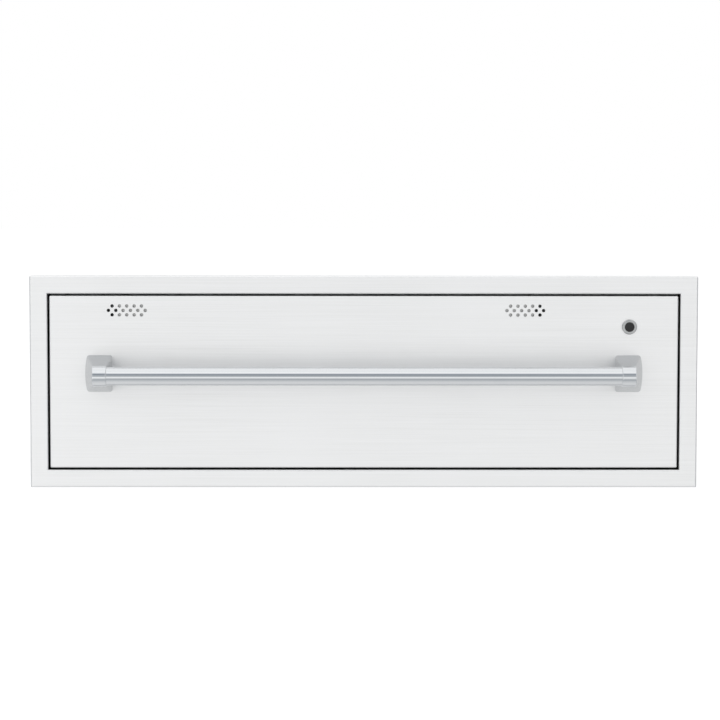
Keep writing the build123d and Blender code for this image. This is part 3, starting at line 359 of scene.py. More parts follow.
@dataclass(frozen=True)
class HeatedSheath(Finish):
    """Nickel alloy tube, annealed by its own heat: olive-grey oxide with straw and blue patches."""

    straw: str = "#7A6A4C"
    blue: str = "#4A5260"
    heat: float = 14.0  # patches of one colour, 70 mm
    scale: float = 1400.0  # oxide grain, drawn 0.7 mm wide to show

    def paint(self, graph: Graph, place: Socket) -> dict[str, Any]:
        """Let a slow cloud run through the oxide's colours."""
        heat = graph.add("TexNoise", {"Vector": place, "Scale": self.heat, "Detail": 3.0})
        scale = graph.add("TexNoise", {"Vector": place, "Scale": self.scale, "Detail": 2.0})
        oxide = [(0.3, self.blue), (0.45, self.colour), (0.6, self.straw), (0.75, self.colour)]
        low, high = self.roughness - 0.1, self.roughness + 0.15
        return {
            "Base Color": graph.add("ValToRGB", {0: heat}, stops=oxide),
            "Roughness": graph.add("MapRange", {0: scale, 3: low, 4: high}),
            "Normal": graph.add("Bump", {"Height": scale, "Strength": 0.15, "Distance": 0.0001}),
        }


@dataclass(frozen=True)
class Speckled(Finish):
    """A dry surface with one fine pattern that shows in its colour and, with relief, in its bump."""

    other: str = "#FFFFFF"
    scale: float = 1000.0
    detail: float = 2.0
    band: tuple[float, float] = (0.5, 0.8)
    most: float = 0.6
    relief: float = 0.0
    distance: float = 0.1 * MM

    def paint(self, graph: Graph, place: Socket) -> dict[str, Any]:
        """Mix the other colour in where the noise passes the band."""
        specks = graph.add("TexNoise", {"Vector": place, "Scale": self.scale, "Detail": self.detail})
        amount = graph.add("MapRange", {0: specks, 1: self.band[0], 2: self.band[1], 3: 0.0, 4: self.most})
        colour = graph.add("Mix", {0: amount, 6: self.colour, 7: self.other}, data_type="RGBA")
        if not self.relief:
            return {"Base Color": colour}
        bump = graph.add("Bump", {"Height": specks, "Strength": self.relief, "Distance": self.distance})
        return {"Base Color": colour, "Normal": bump}


FRONT_STEEL = BrushedStainless("stainless_brushed_front", "#F2F2F2", 1.0, 0.45)
# painted shade: a darker copy of the front steel for the vent baffle, which sits in shade behind the door
# skin's vent holes
BAFFLE_SHADE_STEEL = BrushedStainless("stainless_brushed_baffle_painted_shade", "#B9B9B8", 1.0, 0.4, worn="#AFAFAE")
# painted shade: a dark copy of the brushed steel for the frame's returns round the door's reveal, standing
# for the shade in the gap
RETURN_SHADE_STEEL = BrushedStainless("stainless_returns_painted_shade", "#5A5A59", 1.0, 0.5, worn="#4C4C4B")
TUB_STEEL = BrushedStainless("stainless_satin_drawn", "#D8D8D6", 1.0, 0.3, worn="#CECECC",
                             line_length=30 * MM, line_pitch=1.6 * MM, depth=0.03)
CASE_ZINC = GalvanisedSheet("steel_hot_dip_galvanised", "#A9AEB0", 0.9, 0.42)
CHROME = PolishedChrome("chrome_plate_buffed", "#D8DADC", 1.0, 0.09)
CAST_CHROME = PolishedChrome("zinc_die_cast_satin_chromed", "#BCBEC0", 1.0, 0.22, haze="#B2B4B6")
BEZEL_CHROME = PolishedChrome("brass_turned_nickel_plated", "#B4B5B5", 1.0, 0.16, haze="#A6A7A7")
SLIDE_ZINC = ZincPlated("steel_zinc_passivated", "#B9BDC0", 1.0, 0.3)
BLACK_PLASTIC = MouldedPlastic("polyamide_black_moulded", "#121213", 0.0, 0.55)
WOOL = MineralWool("rock_wool_bonded", "#9A8F6E", 0.0, 0.95)
SHEATH = HeatedSheath("nickel_alloy_sheath_annealed", "#5C5A50", 0.8, 0.42)
# unglazed and off-white, with specks of 0.8 mm
STEATITE = Speckled("steatite_fired", "#E6E0D2", 0.0, 0.6, "#B9B1A0", 1300.0, 2.0, (0.62, 0.72), 0.8,
                    relief=0.1)
# soft matt black with a bloom of dust in patches of 5 mm
SILICONE = Speckled("silicone_extruded", "#232323", 0.0, 0.75, "#4B4B4A", 220.0, 4.0, (0.4, 0.8), 0.7,
                    relief=0.08, distance=0.2 * MM)
# flat ink, thinner where the printing mesh laid it down, every 0.6 mm
DIAL_INK = Speckled("ink_screen_printed", "#262626", 0.0, 0.55, "#4A4A4A", 1800.0)
POINTER_INK = Speckled("ink_pointer_white", "#E8E8E6", 0.0, 0.5, "#C8C8C6", 1800.0)

SLOT_FINISH = {
    Slot.BRUSHED: FRONT_STEEL,
    Slot.SATIN: TUB_STEEL,
    Slot.GALVANISED: CASE_ZINC,
    Slot.WOOL: WOOL,
    Slot.CHROME: CHROME,
    Slot.ZINC: SLIDE_ZINC,
    Slot.PLASTIC: BLACK_PLASTIC,
    Slot.ELEMENT: SHEATH,
    Slot.CERAMIC: STEATITE,
    Slot.SEAL: SILICONE,
}


# ---------------------------------------------------------------------------
# Surface helpers
# ---------------------------------------------------------------------------


def put(name: str, points: np.ndarray, faces: list[Any], smooth: bool = True) -> Piece:
    """Make a mesh object at the origin from points in metres.

    Args:
        name: the piece's name.
        points: vertices, one row each.
        faces: vertex numbers of each face, seen anticlockwise from outside.
        smooth: whether faces are shaded smooth, with sharp edges kept over 35 degrees.

    Returns:
        The linked object.
    """
    mesh = bpy.data.meshes.new(name)
    mesh.from_pydata(points.tolist(), [], faces)
    mesh.update()
    piece = bpy.data.objects.new(name, mesh)
    bpy.context.scene.collection.objects.link(piece)
    if smooth:
        mesh.shade_smooth()
        mesh.set_sharp_from_angle(angle=SHARP_ANGLE)
    return piece


def grid_faces(rows: int, columns: int, wrap_rows: bool = False) -> np.ndarray:
    """Number the quads of a grid of points whose last column joins its first, as whole arrays.

    Args:
        rows: points along the first direction.
        columns: points round the second direction.
        wrap_rows: join the last row to the first.

    Returns:
        Quads, one row each.
    """
    row = np.arange(rows if wrap_rows else rows - 1)[:, None]
    column = np.arange(columns)[None, :]
    next_row, next_column = (row + 1) % rows, (column + 1) % columns
    corners = [row * columns + column, row * columns + next_column,
               next_row * columns + next_column, next_row * columns + column]
    return np.stack(corners, -1).reshape(-1, 4)


def turned(
    profile: np.ndarray, centre: np.ndarray, axis: tuple[float, float, float], sides: int
) -> tuple[np.ndarray, list[Any]]:
    """Turn a profile round an axis.

    A point of the surface is centre + height * axis + radius * (cos a * u + sin a * v), for each
    radius and height of the profile and each angle a, where u, v and axis are at right angles.

    Args:
        profile: radius and height in metres, from the top pole to the bottom pole.
        centre: where the axis starts.
        axis: unit direction of height.
        sides: points round the axis.

    Returns:
        The points and the faces.
    """
    along = Vector(axis).normalized()
    u = np.array(along.orthogonal().normalized())
    v = np.cross(np.array(along), u)
    angle = np.linspace(0, 2 * np.pi, sides, endpoint=False)
    ring = np.cos(angle)[:, None] * u + np.sin(angle)[:, None] * v
    shape = profile[1:-1, 1, None, None] * np.array(along) + profile[1:-1, 0, None, None] * ring[None]
    rows = len(profile) - 2
    poles = profile[[0, -1], 1, None] * np.array(along)
    around = np.arange(sides)
    low = (rows - 1) * sides + around
    faces = grid_faces(rows, sides)[:, ::-1].tolist()
    faces += np.stack([around, np.roll(around, -1), np.full(sides, rows * sides)], -1).tolist()
    faces += np.stack([np.roll(low, -1), low, np.full(sides, rows * sides + 1)], -1).tolist()
    return centre + np.vstack([shape.reshape(-1, 3), poles]), faces


def carried(name: str, profile: np.ndarray, path: np.ndarray, outward: np.ndarray, rise: np.ndarray) -> Piece:
    """Carry a closed profile round a closed path.

    A point of the surface is path + a * outward + b * rise, for each a, b of the profile.

    Args:
        name: the piece's name.
        profile: closed profile, a and b in metres, anticlockwise when rise points up.
        path: points of the closed path.
        outward: unit direction of a at each path point.
        rise: unit direction of b, the same all round.

    Returns:
        The linked object.
    """
    points = (
        path[:, None, :]
        + profile[None, :, 0, None] * outward[:, None, :]
        + profile[None, :, 1, None] * rise[None, None, :]
    )
    return put(name, points.reshape(-1, 3), grid_faces(len(path), len(profile), wrap_rows=True).tolist())


def slab(name: str, across: np.ndarray, up: np.ndarray, solid: np.ndarray, place: Any) -> Piece:
    """Make a slab with windows from the filled cells of a grid.

    Both faces are the grid's points at thickness 0 and 1, and each edge between a filled and an
    empty cell gets a wall. The place function turns (across, up, thickness) into the frame.

    Args:
        name: the piece's name.
        across: grid lines in the first direction.
        up: grid lines in the second direction.
        solid: which cells are filled.
        place: function of three arrays that returns points.

    Returns:
        The linked object.
    """
    columns = len(up)
    count = len(across) * columns
    grid_a, grid_b = np.meshgrid(across, up, indexing="ij")
    flat_a, flat_b = grid_a.ravel(), grid_b.ravel()
    points = np.vstack([place(flat_a, flat_b, np.zeros(count)), place(flat_a, flat_b, np.ones(count))])
    i, j = np.nonzero(solid)
    corner = i * columns + j
    quad = np.stack([corner, corner + columns, corner + columns + 1, corner + 1], -1)
    parts = [quad[:, ::-1], quad + count]
    ringed = np.pad(solid, 1)
    for di, dj, a, b in ((-1, 0, 3, 0), (1, 0, 1, 2), (0, -1, 0, 1), (0, 1, 2, 3)):
        open_side = ~ringed[i + 1 + di, j + 1 + dj]
        low_a, low_b = quad[open_side, a], quad[open_side, b]
        parts.append(np.stack([low_a, low_b, low_b + count, low_a + count], -1))
    faces = np.vstack(parts)
    used, renumbered = np.unique(faces, return_inverse=True)
    return put(name, points[used], renumbered.reshape(-1, 4).tolist())


def rounded_loop(
    low: tuple[float, float], high: tuple[float, float], radius: float, steps: int
) -> tuple[np.ndarray, np.ndarray]:
    """Points and outward directions round a rectangle with rounded corners.

    A point is the corner's centre + radius * (cos a, sin a), with a going once round.

    Args:
        low: lowest corner.
        high: highest corner.
        radius: corner radius.
        steps: points in each corner.

    Returns:
        The points and the unit outward directions, anticlockwise.
    """
    angle = np.concatenate([np.linspace(q, q + 1, steps) for q in range(4)]) * np.pi / 2
    quarter = np.repeat(np.arange(4), steps)
    centre_x = np.where((quarter == 0) | (quarter == 3), high[0] - radius, low[0] + radius)
    centre_y = np.where(quarter < 2, high[1] - radius, low[1] + radius)
    out = np.stack([np.cos(angle), np.sin(angle)], -1)
    return np.stack([centre_x, centre_y], -1) + radius * out, out


def finish_piece(piece: Piece, finish: Finish, body: Body, slot: Slot, *nodes: str) -> Piece:
    """Dress a new piece, let it ride and hide the nodes that it replaces.

    Args:
        piece: the new object.
        finish: what it is made of.
        body: the body that it moves with.
        slot: the record's slot, not used.
        nodes: nodes that it replaces.

    Returns:
        The piece.
    """
    finish.dress(piece)
    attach(piece, body.value)
    if nodes:
        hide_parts(*nodes)
    LOG.info("%s: %d faces", piece.name, len(piece.data.polygons))
    return piece


# ---------------------------------------------------------------------------
# Sub-assemblies
# ---------------------------------------------------------------------------


@dataclass
class CarriedOverParts:
    """The model's own nodes, each dressed in the finish of its slot."""

    baffle: str = "vent_baffle"
    door: str = "door_skin"
    frame_node: str = "face_frame"
    reveal: float = 2.2 * MM
    reach: float = 0.3 * MM
    tilt: float = 0.3
    bezel: str = "button_bezel"

    def build(self) -> None:
        """Dress every node of the model by the slot that the record gives it."""
        by_name = {slot.value: finish for slot, finish in SLOT_FINISH.items()}
        for row in frame["record"]["subparts"]:
            by_name[row["material_slot"]].dress(frame["nodes"][row["node"]])
        # painted shade: the baffle behind the vent holes gets the darker copy of the steel
        BAFFLE_SHADE_STEEL.dress(frame["nodes"][self.baffle])
        BEZEL_CHROME.dress(frame["nodes"][self.bezel])
        # painted shade on the frame's returns round the door's reveal
        self.darken_returns()
        LOG.info("dressed %d nodes", len(frame["nodes"]))

    def darken_returns(self) -> None:
        """Give the frame's returns, the faces that stand round the door at its reveal, a dark copy of the
        brushed steel: painted shade for the gap.
        """
        door_low, door_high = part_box(self.door)
        mesh = frame["nodes"][self.frame_node].data
        count = len(mesh.polygons)
        centre, normal = np.empty(count * 3), np.empty(count * 3)
        mesh.polygons.foreach_get("center", centre)
        mesh.polygons.foreach_get("normal", normal)
        centre, normal = centre.reshape(-1, 3), normal.reshape(-1, 3)
        out_x = np.maximum(door_low.x - centre[:, 0], centre[:, 0] - door_high.x)
        out_z = np.maximum(door_low.z - centre[:, 2], centre[:, 2] - door_high.z)
        outside = np.maximum(out_x, out_z)
        painted_shade_faces = (np.abs(normal[:, 1]) < self.tilt) & (np.abs(outside - self.reveal) < self.reach)
        mesh.materials.append(RETURN_SHADE_STEEL.material())
        slots = np.zeros(count, np.int32)
        slots[painted_shade_faces] = len(mesh.materials) - 1
        mesh.polygons.foreach_set("material_index", slots)
        mesh.update()
        LOG.info("%s: %d faces of the returns", self.frame_node, int(painted_shade_faces.sum()))


@dataclass
class WoolSlabs:
    """Mineral wool round the cavity and in the door, cut with a knife and slightly lumpy.

    A window is a hole in a slab: low and high across, then low and high up. The door's slab leaves
    room at its top for the two groups of vents and for the button's bay.
    """

    cell: float = 12 * MM
    slack: float = 0.6 * MM
    lump: float = 0.8 * MM
    element_window: float = 14 * MM
    element_radius: float = 4 * MM
    cutout_gap: float = 3 * MM
    cutout_room: float = 12 * MM
    vent_middles: tuple[float, float] = (-290.25 * MM, 197.45 * MM)
    vent_half: float = 35 * MM
    vent_floor: float = 200.8 * MM
    bay_left: float = 295.3 * MM
    bay_floor: float = 167.8 * MM
    edge_radius: float = 1.5 * MM
    windows: dict[str, list[tuple[float, float, float, float]]] = field(default_factory=dict)

    def lines(self, low: float, high: float, cuts: list[float]) -> np.ndarray:
        """Grid lines from low to high at about one cell, with the cuts among them."""
        even = np.linspace(low, high, max(int((high - low) / self.cell), 2) + 1)
        return np.unique(np.round(np.concatenate([even, cuts]), 6))

    def make(self, node: str, thin_axis: int, body: Body) -> Piece:
        """Make one slab in the space of its node.

        Args:
            node: node that it replaces.
            thin_axis: 0, 1 or 2 for the direction of its thickness.
            body: the body that it rides on.

        Returns:
            The slab.
        """
        low, high = (np.array(corner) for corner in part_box(node))
        low, high = low + self.slack, high - self.slack
        first, second = [axis for axis in range(3) if axis != thin_axis]
        holes = self.windows.get(node, [])
        cuts_a = [x for hole in holes for x in hole[:2] if low[first] < x < high[first]]
        cuts_b = [x for hole in holes for x in hole[2:] if low[second] < x < high[second]]
        across = self.lines(low[first], high[first], cuts_a)
        up = self.lines(low[second], high[second], cuts_b)
        mid_a = (across[1:] + across[:-1])[:, None] / 2
        mid_b = (up[1:] + up[:-1])[None, :] / 2
        solid = np.ones((len(across) - 1, len(up) - 1), bool)
        for a0, a1, b0, b1 in holes:
            solid &= ~((mid_a > a0) & (mid_a < a1) & (mid_b > b0) & (mid_b < b1))

        def place(a: np.ndarray, b: np.ndarray, t: np.ndarray) -> np.ndarray:
            """Set both faces in by lump * (0.5 + 0.33 wave), where wave is a sum of slow sines."""
            wave = np.sin(a * 61 + 1.3 * np.sin(b * 47)) * np.sin(b * 53 + 0.7)
            wave = wave + 0.5 * np.sin(a * 131 + b * 97)
            inset = self.lump * (0.5 + 0.33 * wave)
            points = np.empty((len(a), 3))
            points[:, first] = a
            points[:, second] = b
            points[:, thin_axis] = np.where(t > 0.5, high[thin_axis] - inset, low[thin_axis] + inset)
            return points

        piece = slab(node + "_wool", across, up, solid, place)
        if thin_axis == 1:
            piece.data.flip_normals()
        bevel = piece.modifiers.new("soft_edges", "BEVEL")
        bevel.width = self.edge_radius
        bevel.segments = 2
        bevel.limit_method = "ANGLE"
        finish_piece(piece, WOOL, body, Slot.WOOL, node)
        return piece

    def build(self) -> None:
        """Make the slabs of the case and of the door."""
        element_low, element_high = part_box("heating_element")
        half = self.element_window / 2
        ends = (element_low.x + self.element_radius, element_high.x - self.element_radius)
        middle_z = (element_low.z + element_high.z) / 2
        cutout_low, cutout_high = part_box("heat_cutout")
        self.windows["insulation_back"] = [
            (x - half, x + half, middle_z - half, middle_z + half) for x in ends
        ] + [(cutout_low.x - self.cutout_gap, cutout_high.x + self.cutout_gap,
              cutout_low.z - self.cutout_room, cutout_high.z + self.cutout_room)]
        _, door_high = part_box("door_insulation")
        top = door_high.z + MM
        self.windows["door_insulation"] = [
            (x - self.vent_half, x + self.vent_half, self.vent_floor, top) for x in self.vent_middles
        ] + [(self.bay_left, door_high.x + MM, self.bay_floor, top)]
        for node, axis in (("insulation_top", 2), ("insulation_bottom", 2), ("insulation_left", 0),
                           ("insulation_right", 0), ("insulation_back", 1)):
            self.make(node, axis, Body.CASE)
        self.make("door_insulation", 1, Body.DRAWER)


@dataclass
class DoorSeal:
    """Extruded bulb seal on the back of the door: a flat foot, a waist and a bulb."""

    corner: float = 14 * MM
    steps: int = 10
    foot_width: float = 9 * MM
    bulb_turn: float = 0.62 * math.pi
    bulb_steps: int = 21
    bulb_share: float = 0.3
    edge_share: float = 0.12
    waist_share: float = 0.22

    def build(self) -> Piece:
        """Carry the seal's section round the door."""
        low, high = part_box("door_gasket")
        inset = self.foot_width / 2
        loop, out = rounded_loop(
            (low.x + inset, low.z + inset), (high.x - inset, high.z - inset), self.corner, self.steps
        )
        height = high.y - low.y
        angle = np.linspace(-self.bulb_turn, self.bulb_turn, self.bulb_steps) + np.pi / 2
        bulb = np.stack([np.cos(angle), np.sin(angle)], -1) * height * self.bulb_share
        bulb[:, 1] += height * (1 - self.bulb_share)
        edge, waist = height * self.edge_share, height * self.waist_share
        half_foot = [(inset, 0.0), (inset, edge), (inset / 2, waist)]
        foot = [(-a, b) for a, b in half_foot[::-1]] + half_foot
        profile = np.vstack([foot, bulb])
        path = np.stack([loop[:, 0], np.full(len(loop), low.y), loop[:, 1]], -1)
        outward = np.stack([out[:, 0], np.zeros(len(out)), out[:, 1]], -1)
        piece = carried("door_seal_bulb", profile, path, outward, np.array([0.0, 1.0, 0.0]))
        return finish_piece(piece, SILICONE, Body.DRAWER, Slot.SEAL, "door_gasket")


@dataclass
class HandlePosts:
    """Cast posts of the handle: a barrel-shaped foot drawn in to a drum round the bar's axis.

    Sizes are the right post's, and the left one mirrors it. A narrow band beside each rim, as wide
    as hold, keeps the drum's and its ends' smooth normals straight.
    """

    foot_inner: float = 308.35 * MM
    foot_outer: float = 341.65 * MM
    bulge: float = 2.6 * MM
    foot_height: float = 45.0 * MM
    foot_corner: float = 3.0 * MM
    drum_middle: float = 319.2 * MM
    drum_width: float = 17.0 * MM
    drum_radius: float = 12.6 * MM
    edge: float = 0.8 * MM
    hold: float = 0.15 * MM
    axis_out: float = 47.5 * MM
    axis_z: float = 140.4 * MM
    front_y: float = -258.5 * MM
    levels: int = 20
    corner_steps: int = 8
    side_steps: int = 16
    rim_steps: int = 6
    drum_sides: int = 96

    def ring(self, share: np.ndarray) -> np.ndarray:
        """Sections from the foot (share 0) to the neck (share 1).

        A section is a rounded rectangle whose sizes run straight from the foot's to the neck's, and
        its outer side leans out by bulge * (1 - share) * (1 - (2 z / height) ** 2).

        Args:
            share: how far each section is along the post.

        Returns:
            Points by section and by place round it, as x, y and z of the right post.
        """
        share = share[:, None]
        neck_half = self.drum_width / 2
        inner = self.foot_inner + share * (self.drum_middle - neck_half - self.foot_inner)
        foot_side = self.foot_outer - self.bulge
        outer = foot_side + share * (self.drum_middle + neck_half - foot_side)
        half = self.foot_height / 2 + share * (self.drum_radius - self.foot_height / 2)
        radius = self.foot_corner + share * (self.edge - self.foot_corner)
        turn = np.linspace(0, 1, self.corner_steps)
        run = np.linspace(-1, 1, self.side_steps + 2)[1:-1]
        middle, flat_x, flat_z = (outer + inner) / 2, (outer - inner) / 2 - radius, half - radius
        still = 0 * run[None]
        flats = (
            (middle - flat_x * run, half + still), (inner + still, -flat_z * run),
            (middle + flat_x * run, -half + still), (outer + still, flat_z * run),
        )
        rows_x, rows_z = [], []
        for quarter, (flat_side_x, flat_side_z) in enumerate(flats):
            angle = (quarter + turn[None]) * np.pi / 2
            centre_x = outer - radius if quarter in (0, 3) else inner + radius
            centre_z = half - radius if quarter < 2 else radius - half
            rows_x += [centre_x + radius * np.cos(angle), flat_side_x]
            rows_z += [centre_z + radius * np.sin(angle), flat_side_z]
        x, z = np.hstack(rows_x), np.hstack(rows_z)
        lean = np.clip((x - (inner + outer) / 2) / ((outer - inner) / 2), 0, 1)
        x = x + self.bulge * (1 - share) * lean * (1 - (z / half) ** 2)
        y = np.broadcast_to(self.front_y - share * self.axis_out, x.shape)
        return np.stack([x, y, z + self.axis_z], -1)

    def post(self, side: int, node: str) -> Piece:
        """One post: the drawn-in body and the drum with rounded rims, as two closed shells.

        Args:
            side: 1 for the right post, -1 for the left.
            node: node that it replaces.

        Returns:
            The post.
        """
        rings = self.ring(np.linspace(0, 1, self.levels))
        count = rings.shape[1]
        body = rings.reshape(-1, 3)
        faces: list[Any] = grid_faces(self.levels, count).tolist()
        faces.append(list(range(count))[::-1])
        faces.append([(self.levels - 1) * count + i for i in range(count)])
        rim = np.linspace(0, np.pi / 2, self.rim_steps)
        half = self.drum_width / 2
        flat = half - self.edge
        rise = np.concatenate([flat + self.edge * np.cos(rim), [flat - self.hold, self.hold - flat],
                               -flat - self.edge * np.sin(rim)])
        reach = self.drum_radius - self.edge + self.edge * np.concatenate([np.sin(rim), [1, 1], np.cos(rim)])
        profile = np.vstack([(0.0, half), np.stack([reach, rise], -1), (0.0, -half)])
        centre = np.array([self.drum_middle, self.front_y - self.axis_out, self.axis_z])
        drum_points, drum_faces = turned(profile, centre, (1.0, 0.0, 0.0), self.drum_sides)
        points = np.vstack([body, drum_points])
        faces += [[i + len(body) for i in face] for face in drum_faces]
        if side < 0:
            points[:, 0] *= -1
            faces = [list(face)[::-1] for face in faces]
        piece = finish_piece(put(node + "_cast", points, faces), CAST_CHROME, Body.DRAWER, Slot.CHROME, node)
        piece.data.materials.append(CHROME.material())
        slots = np.zeros(len(faces), np.int32)
        slots[len(faces) - len(drum_faces):] = 1
        piece.data.polygons.foreach_set("material_index", slots)
        return piece

    def build(self) -> None:
        """Make both posts."""
        self.post(-1, "handle_post_left")
        self.post(1, "handle_post_right")


@dataclass
class ThermostatScale:
    """Printed scale round the knob: ticks and the plain numbers 0 to 6, with a line on the knob."""

    tick_inner: float = 20.5 * MM
    tick_outer: float = 23.5 * MM
    tick_step: float = 1 * MM
    tick_width: float = 0.7 * MM
    figure_radius: float = 28.0 * MM
    figure_height: float = 5.5 * MM
    figures: int = 7
    sweep: float = 270.0
    print_lift: float = 0.05 * MM
    print_thickness: float = 0.04 * MM
    line_half: float = 0.6 * MM
    line_start: float = 6 * MM
    line_stop: float = 14.5 * MM
    line_lift: float = 0.03 * MM
    line_sunk: float = 0.4 * MM
    ticks_a_figure: int = 4
    glyph_to_height: float = 1.4

    def knob_centre(self) -> tuple[float, float, float, float]:
        """The knob's axis in x and y, the deck's level and the knob's top."""
        low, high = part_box("thermostat_knob")
        _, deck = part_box("drawer_side_right")
        return (low.x + high.x) / 2, (low.y + high.y) / 2, deck.z, high.z

    def ticks(self) -> Piece:
        """A flat bar for each tick: a box turned to its angle, long at each number."""
        x, y, z, _ = self.knob_centre()
        count = self.ticks_a_figure * (self.figures - 1) + 1
        angle = np.radians(90 - np.linspace(0, self.sweep, count))
        main = np.arange(count) % self.ticks_a_figure == 0
        outer = np.where(main, self.tick_outer, self.tick_outer - self.tick_step)
        half = np.where(main, self.tick_width / 2, self.tick_width / 3)
        along = np.stack([np.cos(angle), np.sin(angle)], -1)
        side = np.stack([-np.sin(angle), np.cos(angle)], -1)
        inner = np.full(count, self.tick_inner)
        corners = []
        for reach, sign in ((inner, -1), (outer, -1), (outer, 1), (inner, 1)):
            corners.append(reach[:, None] * along + sign * half[:, None] * side)
        flat = np.stack(corners, 1) + np.array([x, y])
        low = np.concatenate([flat, np.full((count, 4, 1), z + self.print_lift - self.print_thickness)], -1)
        high = np.concatenate([flat, np.full((count, 4, 1), z + self.print_lift)], -1)
        points = np.concatenate([low, high], 1).reshape(-1, 3)
        faces = (np.arange(count)[:, None, None] * 8 + BOX_FACES[None]).reshape(-1, 4)
        piece = put("dial_ticks", points, faces.tolist(), smooth=False)
        return finish_piece(piece, DIAL_INK, Body.DRAWER, Slot.PLASTIC)

    def numbers(self) -> None:
        """Each plain number upright beside its tick."""
        x, y, z, _ = self.knob_centre()
        for figure in range(self.figures):
            angle = math.radians(90 - self.sweep * figure / (self.figures - 1))
            curve = bpy.data.curves.new(f"dial_number_{figure}", "FONT")
            curve.body = str(figure)
            curve.size = self.figure_height * self.glyph_to_height
            curve.extrude = self.print_thickness / 2
            curve.align_x = "CENTER"
            curve.align_y = "CENTER"
            text = bpy.data.objects.new(curve.name, curve)
            bpy.context.scene.collection.objects.link(text)
            place = Matrix.Translation((
                x + self.figure_radius * math.cos(angle),
                y + self.figure_radius * math.sin(angle),
                z + self.print_lift - self.print_thickness / 2,
            ))
            mesh = bpy.data.meshes.new_from_object(text)
            bpy.data.objects.remove(text)
            mesh.transform(place)
            piece = bpy.data.objects.new(f"dial_number_{figure}", mesh)
            bpy.context.scene.collection.objects.link(piece)
            finish_piece(piece, DIAL_INK, Body.DRAWER, Slot.PLASTIC)

    def build(self) -> None:
        """Print the scale and the knob's line."""
        self.ticks()
        self.numbers()
        x, y, _, top = self.knob_centre()
        half, start, stop = self.line_half, self.line_start, self.line_stop
        levels = (top - self.line_sunk, top + self.line_lift)
        points = np.array([(x + sx * half, y + reach, h) for h in levels
                           for sx, reach in ((-1, start), (1, start), (1, stop), (-1, stop))])
        piece = put("knob_line", points, BOX_FACES.tolist(), smooth=False)
        finish_piece(piece, POINTER_INK, Body.KNOB, Slot.PLASTIC)


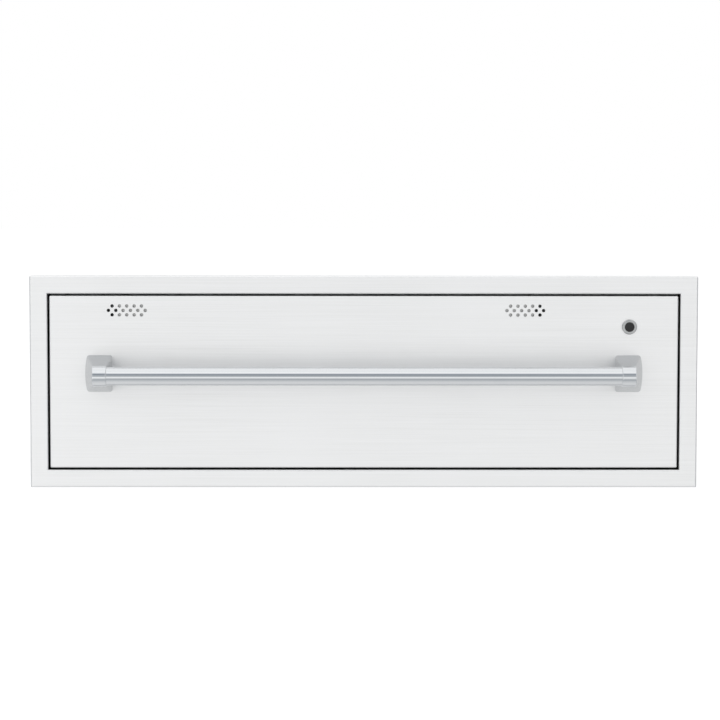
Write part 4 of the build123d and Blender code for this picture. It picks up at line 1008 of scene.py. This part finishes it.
@dataclass
class Studio:
    """Pale floor, soft light all round and the camera of the photograph."""

    camera_place: tuple[float, float, float] = (-0.0272, -3.1708, 0.3474)
    pan: float = 0.438
    tilt: float = 3.739
    roll: float = 0.054
    lens: float = 119.04
    floor_size: float = 60.0
    floor_level: float = -0.0003
    boxes_from: float = 0.13
    boxes_to: float = 0.6
    boxes_up: float = 0.5
    box_white: str = "#FFFFFF"
    box_gain: float = 1.22
    band_gain: float = 1.27
    box_fade: float = 0.05
    top_fade: float = 0.15
    side_fade: float = 0.12
    lean: tuple[float, float] = (1.07, 0.95)
    lean_reach: float = 0.4
    soft_gain: float = 0.72
    floor_glow: float = 0.74
    aim_height: float = 0.12
    lamps: tuple[tuple[str, tuple[float, float, float], float, float], ...] = (
        ("key_soft_box", (-1.6, -2.0, 2.4), 1.6, 34.0), ("fill_soft_box", (2.0, 1.2, 2.2), 1.8, 22.0),
    )
    side_grey: str = "#B0B3B6"
    bands: tuple[tuple[float, str], ...] = (
        (-90, "#DCDCDC"), (-65, "#D3D4D5"), (-51, "#C3C5C7"), (-37, "#AAADB0"), (-25, "#BCBFC1"),
        (-15, "#F4F5F5"), (-6, "#F4F5F5"), (0, "#AFB2B5"), (12, "#AAAEB2"), (20, "#8C939A"), (26, "#7E868E"),
        (33, "#C0C4C8"), (38, "#DFE1E3"), (50, "#FEFEFE"), (64, "#EFF0F1"), (78, "#F4F5F5"), (90, "#F0F0F0"),
    )

    def camera(self) -> None:
        """Place the camera: forward from pan and tilt, right and up turned by the roll."""
        pan, tilt, roll = (math.radians(angle) for angle in (self.pan, self.tilt, self.roll))
        forward = Vector((math.sin(pan) * math.cos(tilt), math.cos(pan) * math.cos(tilt), -math.sin(tilt)))
        right = Vector((math.cos(pan), -math.sin(pan), 0))
        up = right.cross(forward)
        right = math.cos(roll) * right + math.sin(roll) * up
        up = right.cross(forward)
        data = bpy.data.cameras.new("photo_camera")
        data.sensor_width = 36.0
        data.lens = self.lens
        data.clip_end = 200.0
        view = bpy.data.objects.new("photo_camera", data)
        bpy.context.scene.collection.objects.link(view)
        turn = Matrix((right, up, -forward)).transposed().to_4x4()
        view.matrix_world = Matrix.Translation(self.camera_place) @ turn
        bpy.context.scene.camera = view

    def world(self) -> None:
        """White to the camera, plain light to matt surfaces, and a studio to metal.

        The studio is a ramp of bands by elevation in front, a light box on each side of the camera
        and dim walls beyond them, a little brighter on the left.
        """
        world = bpy.data.worlds.new("studio_light")
        bpy.context.scene.world = world
        world.use_nodes = True
        world.node_tree.nodes.clear()
        graph = Graph(world.node_tree)
        rays = graph.add("LightPath")
        direction = graph.add("TexCoord").outputs["Generated"]
        split = graph.add("SeparateXYZ", {0: direction})
        rise = graph.add("Math", {0: split.outputs[2]}, operation="ARCSINE")
        height = graph.add("MapRange", {0: rise, 1: -math.pi / 2, 2: math.pi / 2})
        stops = [(0.5 + degrees / 180, colour) for degrees, colour in self.bands]
        bands = graph.add("ValToRGB", {0: height}, stops=stops)
        across = graph.add("Math", {0: split.outputs[0]}, operation="ABSOLUTE")
        beside = graph.add("MapRange", {0: across, 1: self.boxes_from, 2: self.boxes_from + self.box_fade})
        level = graph.add("Math", {0: split.outputs[2]}, operation="ABSOLUTE")
        within = graph.add("MapRange", {0: level, 1: self.boxes_up + self.top_fade, 2: self.boxes_up})
        boxed = graph.add("Math", {0: beside, 1: within}, operation="MULTIPLY")
        wide = graph.add("MapRange", {0: across, 1: self.boxes_to, 2: self.boxes_to + self.side_fade})
        lit = graph.add("Mix", {0: boxed, 6: bands, 7: self.box_white}, data_type="RGBA")
        dim = graph.add("Mix", {0: wide, 6: lit, 7: self.side_grey}, data_type="RGBA")
        (left, right), reach = self.lean, self.lean_reach
        lean = graph.add("MapRange", {0: split.outputs[0], 1: -reach, 2: reach, 3: left, 4: right})
        gain = graph.add("Mix", {0: boxed, 2: self.band_gain, 3: self.box_gain}, data_type="FLOAT")
        power = graph.add("Math", {0: lean, 1: gain}, operation="MULTIPLY")
        seen = graph.add("Background", {0: "#FFFFFF", 1: 1.0})
        mirrored = graph.add("Background", {0: dim, 1: power})
        soft = graph.add("Background", {0: "#FFFFFF", 1: self.soft_gain})
        by_gloss = graph.add("MixShader", {0: rays.outputs["Is Glossy Ray"], 1: soft, 2: mirrored})
        by_camera = graph.add("MixShader", {0: rays.outputs["Is Camera Ray"], 1: by_gloss, 2: seen})
        graph.add("OutputWorld", {0: by_camera})

    def floor(self) -> None:
        """A wide plain floor that carries the shadow and shows as the white ground."""
        half = self.floor_size / 2
        points = np.array([(-half, -half, 0), (half, -half, 0), (half, half, 0), (-half, half, 0)])
        points[:, 2] = self.floor_level
        ground = put("studio_floor", points, [(0, 1, 2, 3)], smooth=False)
        made = bpy.data.materials.new("paper_white_floor")
        made.use_nodes = True
        made.node_tree.nodes.clear()
        graph = Graph(made.node_tree)
        matt = graph.add("BsdfDiffuse", {0: "#B0B0B0"})
        glow = graph.add("Emission", {0: "#FFFFFF", 1: self.floor_glow})
        lit = graph.add("AddShader", {0: matt, 1: glow})
        graph.add("OutputMaterial", {0: lit})
        ground.data.materials.append(made)
        ground.visible_glossy = False

    def lamp(self, name: str, place: tuple[float, float, float], size: float, power: float) -> None:
        """A large square soft box that faces the object and adds shape without a mirror image."""
        data = bpy.data.lights.new(name, "AREA")
        data.size = size
        data.energy = power
        box = bpy.data.objects.new(name, data)
        bpy.context.scene.collection.objects.link(box)
        aim = Vector((0, 0, self.aim_height)) - Vector(place)
        turn = aim.to_track_quat("-Z", "Y").to_matrix().to_4x4()
        box.matrix_world = Matrix.Translation(place) @ turn
        box.visible_glossy = False

    def build(self) -> None:
        """Set the view, the light, the floor and the camera."""
        bpy.context.scene.view_settings.view_transform = "Standard"
        self.world()
        self.floor()
        for lamp in self.lamps:
            self.lamp(*lamp)
        self.camera()
        LOG.info("studio ready")


def main() -> None:
    """Build each sub-assembly in order."""
    logging.basicConfig(level=logging.INFO, format="%(name)s: %(message)s")
    CarriedOverParts().build()
    WoolSlabs().build()
    DoorSeal().build()
    HandlePosts().build()
    ThermostatScale().build()
    Studio().build()
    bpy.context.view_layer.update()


if __name__ == "__main__":
    main()
